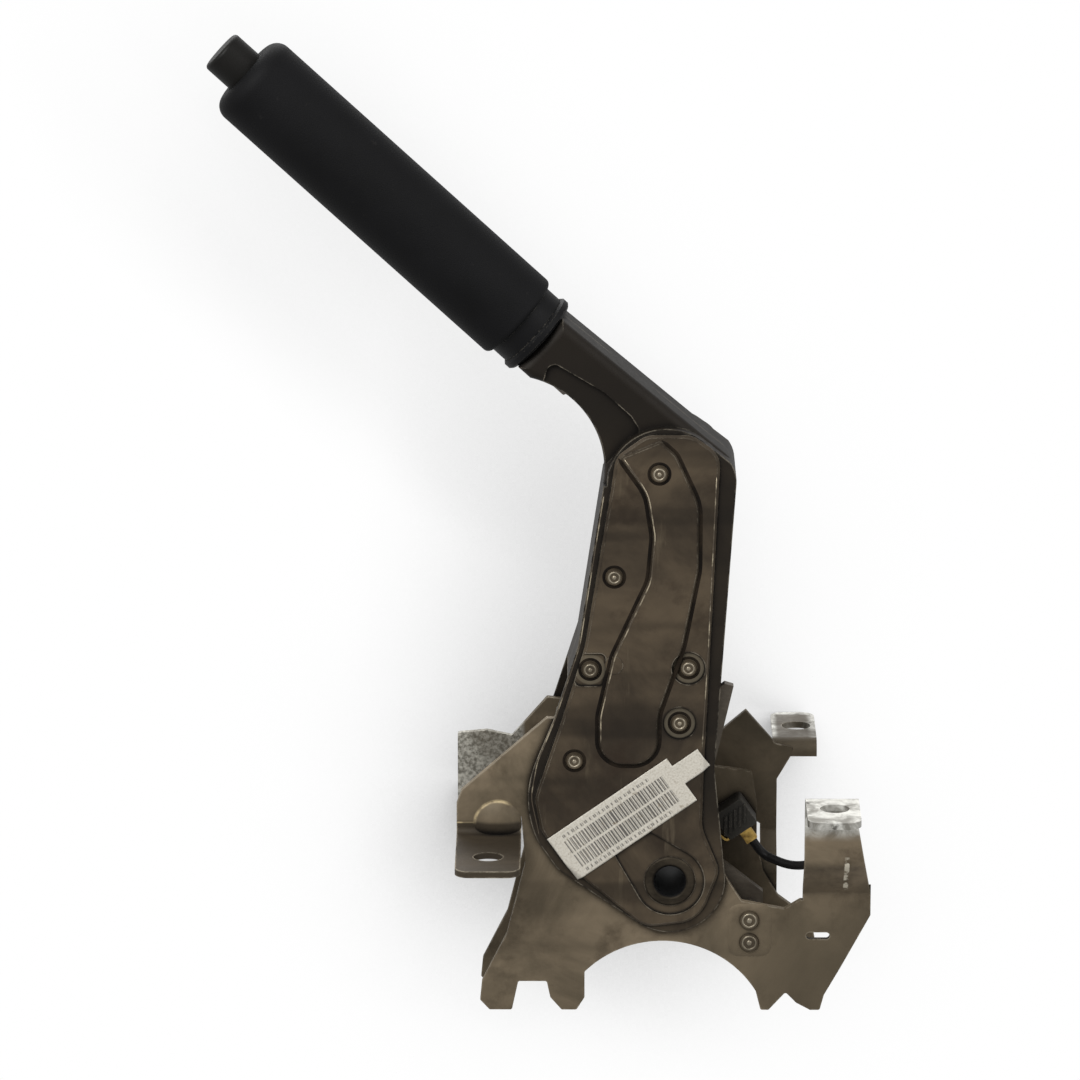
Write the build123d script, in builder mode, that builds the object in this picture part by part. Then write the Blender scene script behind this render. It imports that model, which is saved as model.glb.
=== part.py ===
from build123d import *
from math import acos, atan2, cos, degrees, hypot, radians, sin, tan
import os

# Parking brake lever: a pressed steel lever that turns on a bolted base bracket.
# Origin at the centre of the pivot bore. X runs to the rear of the car, Z up, Y across it.
# The near side is -Y. The grip points to the front and up, at -X and +Z.

os.makedirs("parts", exist_ok=True)

# Sheet thicknesses and the stack across the lever, as distances from the middle plane
ARM_SHEET = 1.6
BASE_SHEET = 2.4
DOUBLER_SHEET = 1.2
SIDE_GAP = 0.6
BASE_FACE = 15.0
BASE_INNER = BASE_FACE - BASE_SHEET
RIM_INNER = BASE_FACE + SIDE_GAP
RIM_FACE = RIM_INNER + ARM_SHEET
PAD_RISE = 1.8
PAD_FACE = RIM_FACE + PAD_RISE
CHANNEL_RISE = 1.0
CHANNEL_FACE = PAD_FACE + CHANNEL_RISE
NECK_FACE = 13.5
NECK_ROUND = 3.5
DOUBLER_FACE = PAD_FACE - ARM_SHEET
DOUBLER_INNER = DOUBLER_FACE - DOUBLER_SHEET
DOUBLER_MARGIN = ARM_SHEET + 0.4

# Pivot: the hollow tube turns with the arm in two bushes held by the base plates
PIVOT_BORE_R = 5.5
PIVOT_TUBE_R = 9.0
PIVOT_PROUD = 0.8
RUNNING_FIT = 0.05
BUSH_WALL = 1.6
BUSH_R = PIVOT_TUBE_R + RUNNING_FIT + BUSH_WALL
BUSH_PROUD = 0.25
BOSS_R = 19.6
RECESS_R = 12.4
RECESS_DEPTH = 0.9
RECESS_TAIL = (-16.0, 16.5)
RECESS_TAIL_R = 6.5

# Ratchet: the full pull is a whole number of clicks
PULL_RANGE = 42.0
CLICKS = 12
TOOTH_PITCH = PULL_RANGE / CLICKS
TIP_R = 72.0
TOOTH_DEPTH = 3.0
ROOT_R = TIP_R - TOOTH_DEPTH
STEEP_RUN = 1.6
SLOPE_RUN = 2.3
EXTRA_TEETH = 1
NOSE_ANGLE = 118.0
NOSE_GAP = 0.25
NOSE_HEIGHT = 2.4
SECTOR_T = 4.0
SECTOR_HUB_GAP = 0.3
PLATE_TOP_R = 66.0
WALL_START_R = 84.0

# Pawl, its pin and its spacers
PAWL_T = 3.6
PAWL_PIN_R = 3.0
PAWL_BOSS_R = 5.4
PAWL_PIN_RISE = 9.0
PAWL_PIN_RADIUS = TIP_R + PAWL_PIN_RISE
PAWL_PIN_STEP = 20.0
PAWL_SIDE_GAP = 0.3
TAIL_LENGTH = 24.0
TAIL_R = 3.0

# Grip, set out along its own axis from the lower end of the collar
GRIP_X = -46.8
GRIP_Z = 196.6
GRIP_TILT = 137.5
GRIP_R = 16.7
SLEEVE_END = 141.0
SLEEVE_LIP = 4.0
COLLAR_R = 14.4
COLLAR_LIP_R = 15.6
COLLAR_LENGTH = 10.0
COLLAR_LIP = 3.5
TUBE_R = 10.0
TUBE_WALL = 1.4
TUBE_BORE_R = TUBE_R - TUBE_WALL
TUBE_START = -20.0
TUBE_END_GAP = 0.5
TUBE_TOP = SLEEVE_END - SLEEVE_LIP - TUBE_END_GAP
NECK_HALF = TUBE_R + ARM_SHEET
NECK_START = -0.3
NECK_STRAIGHT = 6.0

# Release button, push rod and spring
BUTTON_R = 8.0
BUTTON_FIT = 0.08
BUTTON_PROUD = 11.5
BUTTON_SHANK = 20.0
SHANK_TOP = TUBE_TOP - 0.4
SHANK_END = SHANK_TOP - BUTTON_SHANK
BUTTON_TOP = SLEEVE_END + BUTTON_PROUD
ROD_R = 2.0
ROD_GAP = 0.3
ROD_SOCKET = 8.0
ROD_BEND_R = 28.0
ELBOW_STEP = 41.8
SPRING_WIRE_R = 0.6
SPRING_R = 5.6
SPRING_TURNS = 7
SPRING_SEAT = 88.0
SEAT_T = 2.0

# Base bracket
FOOT_Z = -49.7
LEFT_FLANGE_TOP = 17.0
RIGHT_FLANGE_TOP = 35.0
FAR_FLANGE_TOP = 40.5
FLANGE_REACH = 62.0
FLANGE_CORNER = 5.0
BOLT_Y = 44.0
BOLT_HOLE_R = 5.25
LEFT_BOLT_X = -65.0
RIGHT_BOLT_X = 58.0
FAR_RIGHT_BOLT_X = 47.0
NEAR_TAB_FACE = 30.0
FAR_TAB_FACE = 26.4
BEND_R = 3.5
RIVET_R = 2.5
RIVET_HEAD_R = 3.9
RIVET_HEAD = 1.4
SPACER_R = 3.95

# Cable drum, and the cam on it that presses the warning switch at rest
DRUM_R = 16.0
DRUM_Y0 = 3.0
DRUM_Y1 = 11.6
GROOVE_R = 1.8
CAM_R = 20.0
CAM_FALL = 2.4
CAM_WIDTH = 3.0
SWITCH_ANGLE = 35.0
BLADE_GAP = 0.3
BLADE_T = 0.8
BLADE_WIDTH = 2.6
BLADE_LIFT = 1.4
SWITCH_GAP = 3.2
SWITCH_R0 = CAM_R + SWITCH_GAP
SWITCH_LENGTH = 12.0
SWITCH_WIDTH = 11.0
SWITCH_DEPTH = 9.6
TERMINAL_LENGTH = 5.5
TERMINAL_WIDTH = 4.4
TERMINAL_T = 3.2
LEAD_R = 1.6

along = Vector(cos(radians(GRIP_TILT)), 0, sin(radians(GRIP_TILT)))
across = Vector(sin(radians(GRIP_TILT)), 0, -cos(radians(GRIP_TILT)))
grip_start = Vector(GRIP_X, 0, GRIP_Z)


def grip_point(step, offset=0.0):
    """A point beside the grip axis, as X and Z."""
    point = grip_start + along * step + across * offset
    return (point.X, point.Z)


def grip_plane(step):
    """The plane square to the grip axis, at a distance up from the collar."""
    return Plane(origin=grip_start + along * step, x_dir=(0, 1, 0), z_dir=along)


def polar(radius, angle):
    """A point round the pivot, as X and Z."""
    return (radius * cos(radians(angle)), radius * sin(radians(angle)))


def tooth_point(angle, radius, run):
    """A point by a tooth: out from the pivot by radius, then sideways by run."""
    return (
        radius * cos(radians(angle)) - run * sin(radians(angle)),
        radius * sin(radians(angle)) + run * cos(radians(angle)),
    )


def tooth_gap(angle):
    """The saw-tooth gap whose root stands at an angle; its steep side leans as the pawl's nose swings."""
    top = TOOTH_DEPTH + 1
    return [
        tooth_point(angle, ROOT_R, 0),
        tooth_point(angle, ROOT_R + top, STEEP_RUN * top / TOOTH_DEPTH),
        tooth_point(angle, ROOT_R + top, -SLOPE_RUN * top / TOOTH_DEPTH),
    ]


def side_plane(distance):
    """The plane that faces the near side, at a distance from the middle plane."""
    return Plane.XZ.offset(distance)


# Pawl positions
pawl_pin = tooth_point(NOSE_ANGLE, PAWL_PIN_RADIUS, -PAWL_PIN_STEP)
pawl_tail = (pawl_pin[0] + TAIL_LENGTH * across.X, pawl_pin[1] + TAIL_LENGTH * across.Z)

# Outline of an arm pressing, from the top of the neck clockwise
RIGHT_ELBOW = (23.4, 153.0)
RIGHT_WAIST = (15.8, 42.0)
LEFT_TOE = (-40.2, 3.9)
LEFT_HEEL = (-47.4, 14.5)
LEFT_BULGE = (-51.0, 31.0)
LEFT_HIP = (-48.4, 43.9)
LEFT_WAIST = (-41.8, 60.1)
LEFT_THIGH = (-33.2, 87.1)
LEFT_TOP = (-24.2, 146.0)
LEFT_CURVE = (-30.2, 170.5)
BOSS_START = (BOSS_R, 4.0)
BOSS_EXIT_ANGLE = degrees(atan2(LEFT_TOE[1], LEFT_TOE[0]) + acos(BOSS_R / hypot(*LEFT_TOE)))
ELBOW_ROUND = 12.0
WAIST_ROUND = 20.0
TOE_ROUND = 12.0

# The crease where the neck begins, and the region below it
CREASE_LEFT = (-23.0, 146.0)
CREASE_TOP = (-10.0, 165.4)
CREASE_RIGHT = (12.8, 160.9)
BELOW_CREASE = [CREASE_RIGHT, (80.0, 108.8), (80.0, -60.0), (-90.0, -60.0), (-90.0, 146.0), CREASE_LEFT]

# Raised panel of the body, and the channel that stiffens it: each corner with its own radius
PAD_CORNERS = [
    ((17.3, 158.0), 9.0),
    ((12.0, 42.0), 40.0),
    ((11.4, 20.0), 16.0),
    ((18.0, 4.0), 9.0),
    ((10.5, -15.0), 12.0),
    ((-9.0, -17.4), 10.0),
    ((-38.0, 6.6), 9.0),
    ((-46.4, 19.0), 8.0),
    ((-48.6, 31.0), 9.0),
    ((-38.8, 60.6), 30.0),
    ((-30.8, 87.0), 40.0),
    ((-21.4, 146.0), 9.0),
    ((-20.0, 157.0), 8.0),
    ((-9.0, 165.0), 9.0),
    ((7.0, 165.0), 9.0),
]
PAD_CHAMFER = 0.9
CHANNEL_CORNERS = [
    ((-4.0, 163.0), 1.5),
    ((-18.6, 157.0), 1.5),
    ((-9.0, 143.5), 16.0),
    ((-6.6, 128.0), 14.0),
    ((-8.0, 112.0), 16.0),
    ((-20.8, 84.0), 16.0),
    ((-25.8, 62.0), 16.0),
    ((-25.8, 43.8), 9.0),
    ((-4.4, 43.8), 9.0),
    ((-4.4, 62.0), 14.0),
    ((4.4, 88.0), 20.0),
    ((9.8, 116.0), 20.0),
    ((9.8, 140.0), 18.0),
    ((1.5, 158.0), 6.0),
]
CHANNEL_DRAFT = 30.0

# Rivets through each face of the arm, some of them in sunk seats
CHANNEL_RIVET = (-4.4, 151.3)
PAD_RIVETS = [(-20.3, 113.3), (-34.4, 45.3)]
ROUND_SEATS = [(6.3, 79.6), (3.2, 59.2)]
SQUARE_SEAT = (-28.8, 79.0)
ARM_RIVETS = [CHANNEL_RIVET, *PAD_RIVETS, *ROUND_SEATS, SQUARE_SEAT]
ARM_RIVET_R = 2.0
ARM_RIVET_HEAD_R = 3.2
ARM_RIVET_HEAD = 1.1
RIVET_DRAFT = 25.0
SEAT_R = 6.0
SEAT_DROP = 0.8

# Sunk part of the neck beside its top band
NECK_RECESS = 1.8
RECESS_CORNERS = [
    ((-43.5, 191.0), 3.0),
    ((-23.8, 179.3), 8.0),
    ((-14.4, 170.6), 6.0),
    ((-10.6, 164.5), 3.0),
    ((-17.4, 160.0), 3.0),
    ((-26.0, 150.0), 2.0),
    ((-38.0, 168.0), 4.0),
    ((-46.0, 181.0), 3.0),
]


def arm_outline():
    """The whole outline of one arm pressing, neck and body."""
    with BuildSketch(mode=Mode.PRIVATE) as outline:
        with BuildLine():
            Polyline(grip_point(NECK_START, NECK_HALF), RIGHT_ELBOW, RIGHT_WAIST, BOSS_START)
            ThreePointArc(BOSS_START, polar(BOSS_R, -60), polar(BOSS_R, BOSS_EXIT_ANGLE))
            Polyline(polar(BOSS_R, BOSS_EXIT_ANGLE), LEFT_TOE, LEFT_HEEL)
            ThreePointArc(LEFT_HEEL, LEFT_BULGE, LEFT_HIP)
            Polyline(LEFT_HIP, LEFT_WAIST, LEFT_THIGH, LEFT_TOP)
            ThreePointArc(LEFT_TOP, LEFT_CURVE, grip_point(-NECK_STRAIGHT, -NECK_HALF))
            Polyline(
                grip_point(-NECK_STRAIGHT, -NECK_HALF),
                grip_point(NECK_START, -NECK_HALF),
                grip_point(NECK_START, NECK_HALF),
            )
        make_face()
        elbow = outline.vertices().sort_by_distance((*RIGHT_ELBOW, 0))[0]
        fillet(elbow, radius=ELBOW_ROUND)
        waist = outline.vertices().sort_by_distance((*LEFT_WAIST, 0))[0]
        fillet(waist, radius=WAIST_ROUND)
        toe = outline.vertices().sort_by_distance((*LEFT_TOE, 0))[0]
        fillet(toe, radius=TOE_ROUND)
    return outline.sketch


def below_crease():
    """The region of the arm body, under the crease."""
    with BuildSketch(mode=Mode.PRIVATE) as region:
        with BuildLine():
            ThreePointArc(CREASE_LEFT, CREASE_TOP, CREASE_RIGHT)
            Polyline(*BELOW_CREASE)
        make_face()
    return region.sketch


def rounded_polygon(corners):
    """A closed polygon; each corner is given as its point and its radius."""
    points, radii = zip(*corners)
    with BuildSketch(mode=Mode.PRIVATE) as polygon:
        with BuildLine():
            FilletPolyline(*points, radius=radii, close=True)
        make_face()
    return polygon.sketch


# Arm pressings: the near one is drawn, the far one is its mirror image
arm_face = arm_outline()
body_face = arm_face & below_crease()
pad_face = rounded_polygon(PAD_CORNERS)
channel_face = rounded_polygon(CHANNEL_CORNERS)
recess_face = rounded_polygon(RECESS_CORNERS)

with BuildPart() as near_arm_shell:
    with BuildSketch(side_plane(0)):
        add(arm_face)
    extrude(amount=NECK_FACE)
    fillet(near_arm_shell.faces().sort_by(Axis.Y)[0].edges(), radius=NECK_ROUND)
    with BuildSketch(side_plane(NECK_FACE - NECK_RECESS)):
        add(recess_face)
    extrude(amount=NECK_RECESS, mode=Mode.SUBTRACT)
    with BuildSketch(side_plane(0)):
        add(body_face)
    extrude(amount=RIM_FACE)
    with BuildSketch(side_plane(0)):
        add(pad_face)
    extrude(amount=PAD_FACE)
    chamfer(near_arm_shell.faces().sort_by(Axis.Y)[0].edges(), length=PAD_CHAMFER)
    with BuildSketch(side_plane(PAD_FACE)):
        add(channel_face)
    extrude(amount=CHANNEL_RISE, taper=CHANNEL_DRAFT)
    with BuildSketch(side_plane(0)):
        offset(arm_face, amount=-ARM_SHEET, kind=Kind.INTERSECTION)
    extrude(amount=NECK_FACE - NECK_RECESS - ARM_SHEET, mode=Mode.SUBTRACT)
    with BuildSketch(side_plane(0)):
        offset(arm_face, amount=-ARM_SHEET, kind=Kind.INTERSECTION)
        add(offset(recess_face, amount=ARM_SHEET, mode=Mode.PRIVATE), mode=Mode.SUBTRACT)
    extrude(amount=NECK_FACE - ARM_SHEET, mode=Mode.SUBTRACT)
    with BuildSketch(side_plane(0)):
        offset(body_face, amount=-ARM_SHEET, kind=Kind.INTERSECTION)
    extrude(amount=RIM_INNER, mode=Mode.SUBTRACT)
    with BuildSketch(side_plane(0)):
        offset(pad_face, amount=-ARM_SHEET, kind=Kind.INTERSECTION)
    extrude(amount=DOUBLER_FACE, mode=Mode.SUBTRACT)
    # The neck tube comes in through the end of the neck
    with BuildSketch(grip_plane(TUBE_START)):
        Circle(TUBE_R)
    extrude(amount=TUBE_TOP - TUBE_START, mode=Mode.SUBTRACT)
    # The side walls stop short of the base, so that the arm straddles it
    with BuildSketch(side_plane(0)):
        Circle(WALL_START_R)
    extrude(amount=RIM_INNER, mode=Mode.SUBTRACT)
    # Sunk seats for the rivets, two of them open towards the edge
    with BuildSketch(side_plane(PAD_FACE - SEAT_DROP)):
        with Locations(*ROUND_SEATS):
            Circle(SEAT_R)
        with Locations(SQUARE_SEAT):
            RectangleRounded(2 * SEAT_R - 1, 2 * SEAT_R, SEAT_R / 3)
    extrude(amount=SEAT_DROP + CHANNEL_RISE, mode=Mode.SUBTRACT)
    # Teardrop recess round the pivot
    with BuildSketch(side_plane(PAD_FACE - RECESS_DEPTH)):
        Circle(RECESS_R)
        with Locations(RECESS_TAIL):
            Circle(RECESS_TAIL_R)
        make_hull()
    extrude(amount=RECESS_DEPTH, mode=Mode.SUBTRACT)
    with BuildSketch(side_plane(RIM_INNER)):
        Circle(PIVOT_TUBE_R)
        with Locations(*ARM_RIVETS):
            Circle(ARM_RIVET_R)
        with Locations(pawl_pin):
            Circle(PAWL_PIN_R)
    extrude(amount=CHANNEL_FACE - RIM_INNER, mode=Mode.SUBTRACT)
near_arm_shell.part.label = "near_arm_shell"
export_step(near_arm_shell.part, "parts/near_arm_shell.step")

with BuildPart() as far_arm_shell:
    add(near_arm_shell.part.mirror(Plane.XZ))
far_arm_shell.part.label = "far_arm_shell"
export_step(far_arm_shell.part, "parts/far_arm_shell.step")

# Doublers inside the two faces of the arm, which the rivets hold
with BuildPart() as near_doubler:
    with BuildSketch(side_plane(DOUBLER_INNER)):
        offset(pad_face, amount=-DOUBLER_MARGIN, kind=Kind.INTERSECTION)
        Circle(PIVOT_TUBE_R, mode=Mode.SUBTRACT)
        with Locations(*ARM_RIVETS):
            Circle(ARM_RIVET_R, mode=Mode.SUBTRACT)
        with Locations(pawl_pin):
            Circle(PAWL_PIN_R, mode=Mode.SUBTRACT)
    extrude(amount=DOUBLER_SHEET)
near_doubler.part.label = "near_doubler"
export_step(near_doubler.part, "parts/near_doubler.step")

with BuildPart() as far_doubler:
    add(near_doubler.part.mirror(Plane.XZ))
far_doubler.part.label = "far_doubler"
export_step(far_doubler.part, "parts/far_doubler.step")

# Rivets of one face, each from its doubler to its head
with BuildPart() as near_arm_rivets:
    for spots, face in (
        ([CHANNEL_RIVET], CHANNEL_FACE),
        (PAD_RIVETS, PAD_FACE),
        ([*ROUND_SEATS, SQUARE_SEAT], PAD_FACE - SEAT_DROP),
    ):
        with BuildSketch(side_plane(DOUBLER_INNER)):
            with Locations(*spots):
                Circle(ARM_RIVET_R)
        extrude(amount=face - DOUBLER_INNER)
        with BuildSketch(side_plane(face)):
            with Locations(*spots):
                Circle(ARM_RIVET_HEAD_R)
        extrude(amount=ARM_RIVET_HEAD, taper=RIVET_DRAFT)
near_arm_rivets.part.label = "near_arm_rivets"
export_step(near_arm_rivets.part, "parts/near_arm_rivets.step")

with BuildPart() as far_arm_rivets:
    add(near_arm_rivets.part.mirror(Plane.XZ))
far_arm_rivets.part.label = "far_arm_rivets"
export_step(far_arm_rivets.part, "parts/far_arm_rivets.step")

# Hollow pivot tube, through the arm and the base
TUBE_HALF = PAD_FACE - RECESS_DEPTH + PIVOT_PROUD
TUBE_CHAMFER = 0.5
BORE_CHAMFER = 1.0

with BuildPart() as pivot_tube:
    with BuildSketch(side_plane(-TUBE_HALF)):
        Circle(PIVOT_TUBE_R)
        Circle(PIVOT_BORE_R, mode=Mode.SUBTRACT)
    extrude(amount=2 * TUBE_HALF)
    outer_rims = pivot_tube.edges().filter_by(GeomType.CIRCLE).group_by(SortBy.RADIUS)[-1]
    chamfer(outer_rims, length=TUBE_CHAMFER)
    bore_rims = pivot_tube.edges().filter_by(GeomType.CIRCLE).group_by(SortBy.RADIUS)[0]
    chamfer(bore_rims, length=BORE_CHAMFER)
pivot_tube.part.label = "pivot_tube"
export_step(pivot_tube.part, "parts/pivot_tube.step")

# Bushes that the tube turns in, one in each base plate
with BuildPart() as near_pivot_bush:
    with BuildSketch(side_plane(BASE_INNER - BUSH_PROUD)):
        Circle(BUSH_R)
        Circle(PIVOT_TUBE_R + RUNNING_FIT, mode=Mode.SUBTRACT)
    extrude(amount=BASE_SHEET + 2 * BUSH_PROUD)
near_pivot_bush.part.label = "near_pivot_bush"
export_step(near_pivot_bush.part, "parts/near_pivot_bush.step")

with BuildPart() as far_pivot_bush:
    add(near_pivot_bush.part.mirror(Plane.XZ))
far_pivot_bush.part.label = "far_pivot_bush"
export_step(far_pivot_bush.part, "parts/far_pivot_bush.step")

# Toothed sector in the middle plane, riveted between the base plates
BASE_RIVETS = [(-38.0, 20.0), (28.8, -15.5), (28.8, -23.9)]
SECTOR_POINTS = [
    polar(TIP_R, NOSE_ANGLE + 6.5),
    (-46.0, 27.0),
    (-46.0, 17.0),
    (-32.0, 8.0),
    (-6.0, -13.0),
    (22.0, -26.0),
    (31.0, -29.0),
    (34.5, -24.0),
    (34.0, -9.0),
    (15.0, 6.0),
    (15.0, 34.0),
    polar(TIP_R, NOSE_ANGLE - PULL_RANGE - 4.5),
]

with BuildPart() as toothed_sector:
    with BuildSketch(side_plane(-SECTOR_T / 2)):
        with BuildLine():
            Polyline(*SECTOR_POINTS)
            ThreePointArc(SECTOR_POINTS[-1], polar(TIP_R, NOSE_ANGLE - PULL_RANGE / 2), SECTOR_POINTS[0])
        make_face()
        for click in range(-EXTRA_TEETH, CLICKS + 1):
            with BuildLine():
                Polyline(*tooth_gap(NOSE_ANGLE - click * TOOTH_PITCH), close=True)
            make_face(mode=Mode.SUBTRACT)
        Circle(PIVOT_TUBE_R + SECTOR_HUB_GAP, mode=Mode.SUBTRACT)
        with Locations(*BASE_RIVETS):
            Circle(RIVET_R, mode=Mode.SUBTRACT)
    extrude(amount=SECTOR_T)
toothed_sector.part.label = "toothed_sector"
export_step(toothed_sector.part, "parts/toothed_sector.step")

# Pawl, with its nose in the teeth and its tail under the push rod
STEEP = STEEP_RUN / TOOTH_DEPTH
GENTLE = SLOPE_RUN / TOOTH_DEPTH
NOSE_TIP = 2 * NOSE_GAP / (STEEP + GENTLE)
NOSE_TOP = TOOTH_DEPTH + NOSE_HEIGHT
HEEL_RISE = 0.5
HEEL = TOOTH_DEPTH + HEEL_RISE
nose_tip = tooth_point(NOSE_ANGLE, ROOT_R + NOSE_TIP, STEEP * NOSE_TIP - NOSE_GAP)
nose_top = tooth_point(NOSE_ANGLE, ROOT_R + NOSE_TOP, STEEP * NOSE_TOP - NOSE_GAP)
nose_heel = tooth_point(NOSE_ANGLE, ROOT_R + HEEL, NOSE_GAP - GENTLE * HEEL)
nose_shoulder = tooth_point(NOSE_ANGLE, ROOT_R + NOSE_TOP, NOSE_GAP - GENTLE * HEEL)

with BuildPart() as pawl:
    with BuildSketch(side_plane(-PAWL_T / 2)):
        with BuildLine():
            Polyline(nose_tip, nose_top, nose_heel, close=True)
        make_face()
    extrude(amount=PAWL_T)
    with BuildSketch(side_plane(-PAWL_T / 2)):
        with BuildLine():
            Polyline(nose_top, nose_shoulder, nose_heel, close=True)
        make_face()
        with Locations(pawl_pin):
            Circle(PAWL_BOSS_R)
        make_hull()
    extrude(amount=PAWL_T)
    with BuildSketch(side_plane(-PAWL_T / 2)):
        with Locations(pawl_pin):
            Circle(PAWL_BOSS_R - 1)
        with Locations(pawl_tail):
            Circle(TAIL_R)
        make_hull()
    extrude(amount=PAWL_T)
    with BuildSketch(side_plane(-PAWL_T / 2)):
        with Locations(pawl_pin):
            Circle(PAWL_PIN_R + RUNNING_FIT)
    extrude(amount=PAWL_T, mode=Mode.SUBTRACT)
pawl.part.label = "pawl"
export_step(pawl.part, "parts/pawl.step")

with BuildPart() as pawl_pivot_pin:
    with BuildSketch(side_plane(-PAD_FACE)):
        with Locations(pawl_pin):
            Circle(PAWL_PIN_R)
    extrude(amount=2 * PAD_FACE)
pawl_pivot_pin.part.label = "pawl_pivot_pin"
export_step(pawl_pivot_pin.part, "parts/pawl_pivot_pin.step")

# Sleeves that keep the pawl in the middle of its pin
SLEEVE_START = PAWL_T / 2 + PAWL_SIDE_GAP

with BuildPart() as pawl_spacers:
    for low in (SLEEVE_START, -DOUBLER_INNER):
        with BuildSketch(side_plane(low)):
            with Locations(pawl_pin):
                Circle(PAWL_BOSS_R - 0.6)
                Circle(PAWL_PIN_R, mode=Mode.SUBTRACT)
        extrude(amount=DOUBLER_INNER - SLEEVE_START)
pawl_spacers.part.label = "pawl_spacers"
export_step(pawl_spacers.part, "parts/pawl_spacers.step")

# Neck tube that carries the grip, clamped between the two pressings
with BuildPart() as neck_tube:
    with BuildSketch(grip_plane(TUBE_START)):
        Circle(TUBE_R)
        Circle(TUBE_BORE_R, mode=Mode.SUBTRACT)
    extrude(amount=TUBE_TOP - TUBE_START)
neck_tube.part.label = "neck_tube"
export_step(neck_tube.part, "parts/neck_tube.step")

with BuildPart() as grip_collar:
    with BuildSketch(grip_plane(0)):
        Circle(COLLAR_LIP_R)
    extrude(amount=COLLAR_LIP)
    lip_rims = grip_collar.edges().filter_by(GeomType.CIRCLE)
    chamfer(lip_rims, length=0.8)
    with BuildSketch(grip_plane(COLLAR_LIP / 2)):
        Circle(COLLAR_R)
    extrude(amount=COLLAR_LENGTH - COLLAR_LIP / 2)
    with BuildSketch(grip_plane(0)):
        Circle(TUBE_R)
    extrude(amount=COLLAR_LENGTH, mode=Mode.SUBTRACT)
grip_collar.part.label = "grip_collar"
export_step(grip_collar.part, "parts/grip_collar.step")

with BuildPart() as grip_sleeve:
    with BuildSketch(grip_plane(COLLAR_LENGTH)):
        Circle(GRIP_R)
    extrude(amount=SLEEVE_END - COLLAR_LENGTH)
    sleeve_rims = grip_sleeve.edges().filter_by(GeomType.CIRCLE).sort_by_distance(grip_start)
    fillet(sleeve_rims[0], radius=2.0)
    outer_end = grip_sleeve.edges().filter_by(GeomType.CIRCLE).sort_by_distance(grip_start)[-1]
    fillet(outer_end, radius=5.5)
    with BuildSketch(grip_plane(COLLAR_LENGTH)):
        Circle(TUBE_R)
    extrude(amount=SLEEVE_END - SLEEVE_LIP - COLLAR_LENGTH, mode=Mode.SUBTRACT)
    with BuildSketch(grip_plane(SLEEVE_END - SLEEVE_LIP)):
        Circle(BUTTON_R + 3 * BUTTON_FIT)
    extrude(amount=SLEEVE_LIP, mode=Mode.SUBTRACT)
grip_sleeve.part.label = "grip_sleeve"
export_step(grip_sleeve.part, "parts/grip_sleeve.step")

# Release button, with its shank in the tube and the rod in its socket
with BuildPart() as release_button:
    with BuildSketch(grip_plane(SHANK_TOP)):
        Circle(BUTTON_R)
    extrude(amount=BUTTON_TOP - SHANK_TOP)
    button_rims = release_button.edges().filter_by(GeomType.CIRCLE).sort_by_distance(grip_start)
    fillet(button_rims[-1], radius=1.4)
    with BuildSketch(grip_plane(SHANK_END)):
        Circle(TUBE_BORE_R - BUTTON_FIT)
    extrude(amount=BUTTON_SHANK)
    with BuildSketch(grip_plane(SHANK_END)):
        Circle(ROD_R)
    extrude(amount=ROD_SOCKET, mode=Mode.SUBTRACT)
release_button.part.label = "release_button"
export_step(release_button.part, "parts/release_button.step")

rod_top = grip_start + along * (SHANK_END + ROD_SOCKET)
rod_elbow = grip_start - along * ELBOW_STEP
rod_end = Vector(pawl_tail[0], 0, pawl_tail[1]) + along * (TAIL_R + ROD_R + ROD_GAP)

with BuildPart() as push_rod:
    with BuildLine() as rod_path:
        FilletPolyline(rod_top, rod_elbow, rod_end, radius=ROD_BEND_R)
    with BuildSketch(Plane(origin=rod_top, z_dir=-along)):
        Circle(ROD_R)
    sweep(path=rod_path.line)
    with Locations(rod_end):
        Sphere(ROD_R)
push_rod.part.label = "push_rod"
export_step(push_rod.part, "parts/push_rod.step")

# Spring seat in the tube, and the spring that returns the button
with BuildPart() as spring_seat:
    with BuildSketch(grip_plane(SPRING_SEAT)):
        Circle(TUBE_BORE_R)
        Circle(ROD_R + ROD_GAP, mode=Mode.SUBTRACT)
    extrude(amount=SEAT_T)
spring_seat.part.label = "spring_seat"
export_step(spring_seat.part, "parts/spring_seat.step")

spring_start = SPRING_SEAT + SEAT_T + SPRING_WIRE_R + 0.05
spring_length = SHANK_END - SPRING_WIRE_R - 0.05 - spring_start

with BuildPart() as button_spring:
    with BuildLine() as coil:
        Helix(
            pitch=spring_length / SPRING_TURNS,
            height=spring_length,
            radius=SPRING_R,
            center=grip_start + along * spring_start,
            direction=along,
        )
    with BuildSketch(Plane(origin=coil.line @ 0, z_dir=coil.line % 0)):
        RegularPolygon(SPRING_WIRE_R, 6)
    sweep(path=coil.line, is_frenet=True)
button_spring.part.label = "button_spring"
export_step(button_spring.part, "parts/button_spring.step")

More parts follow.
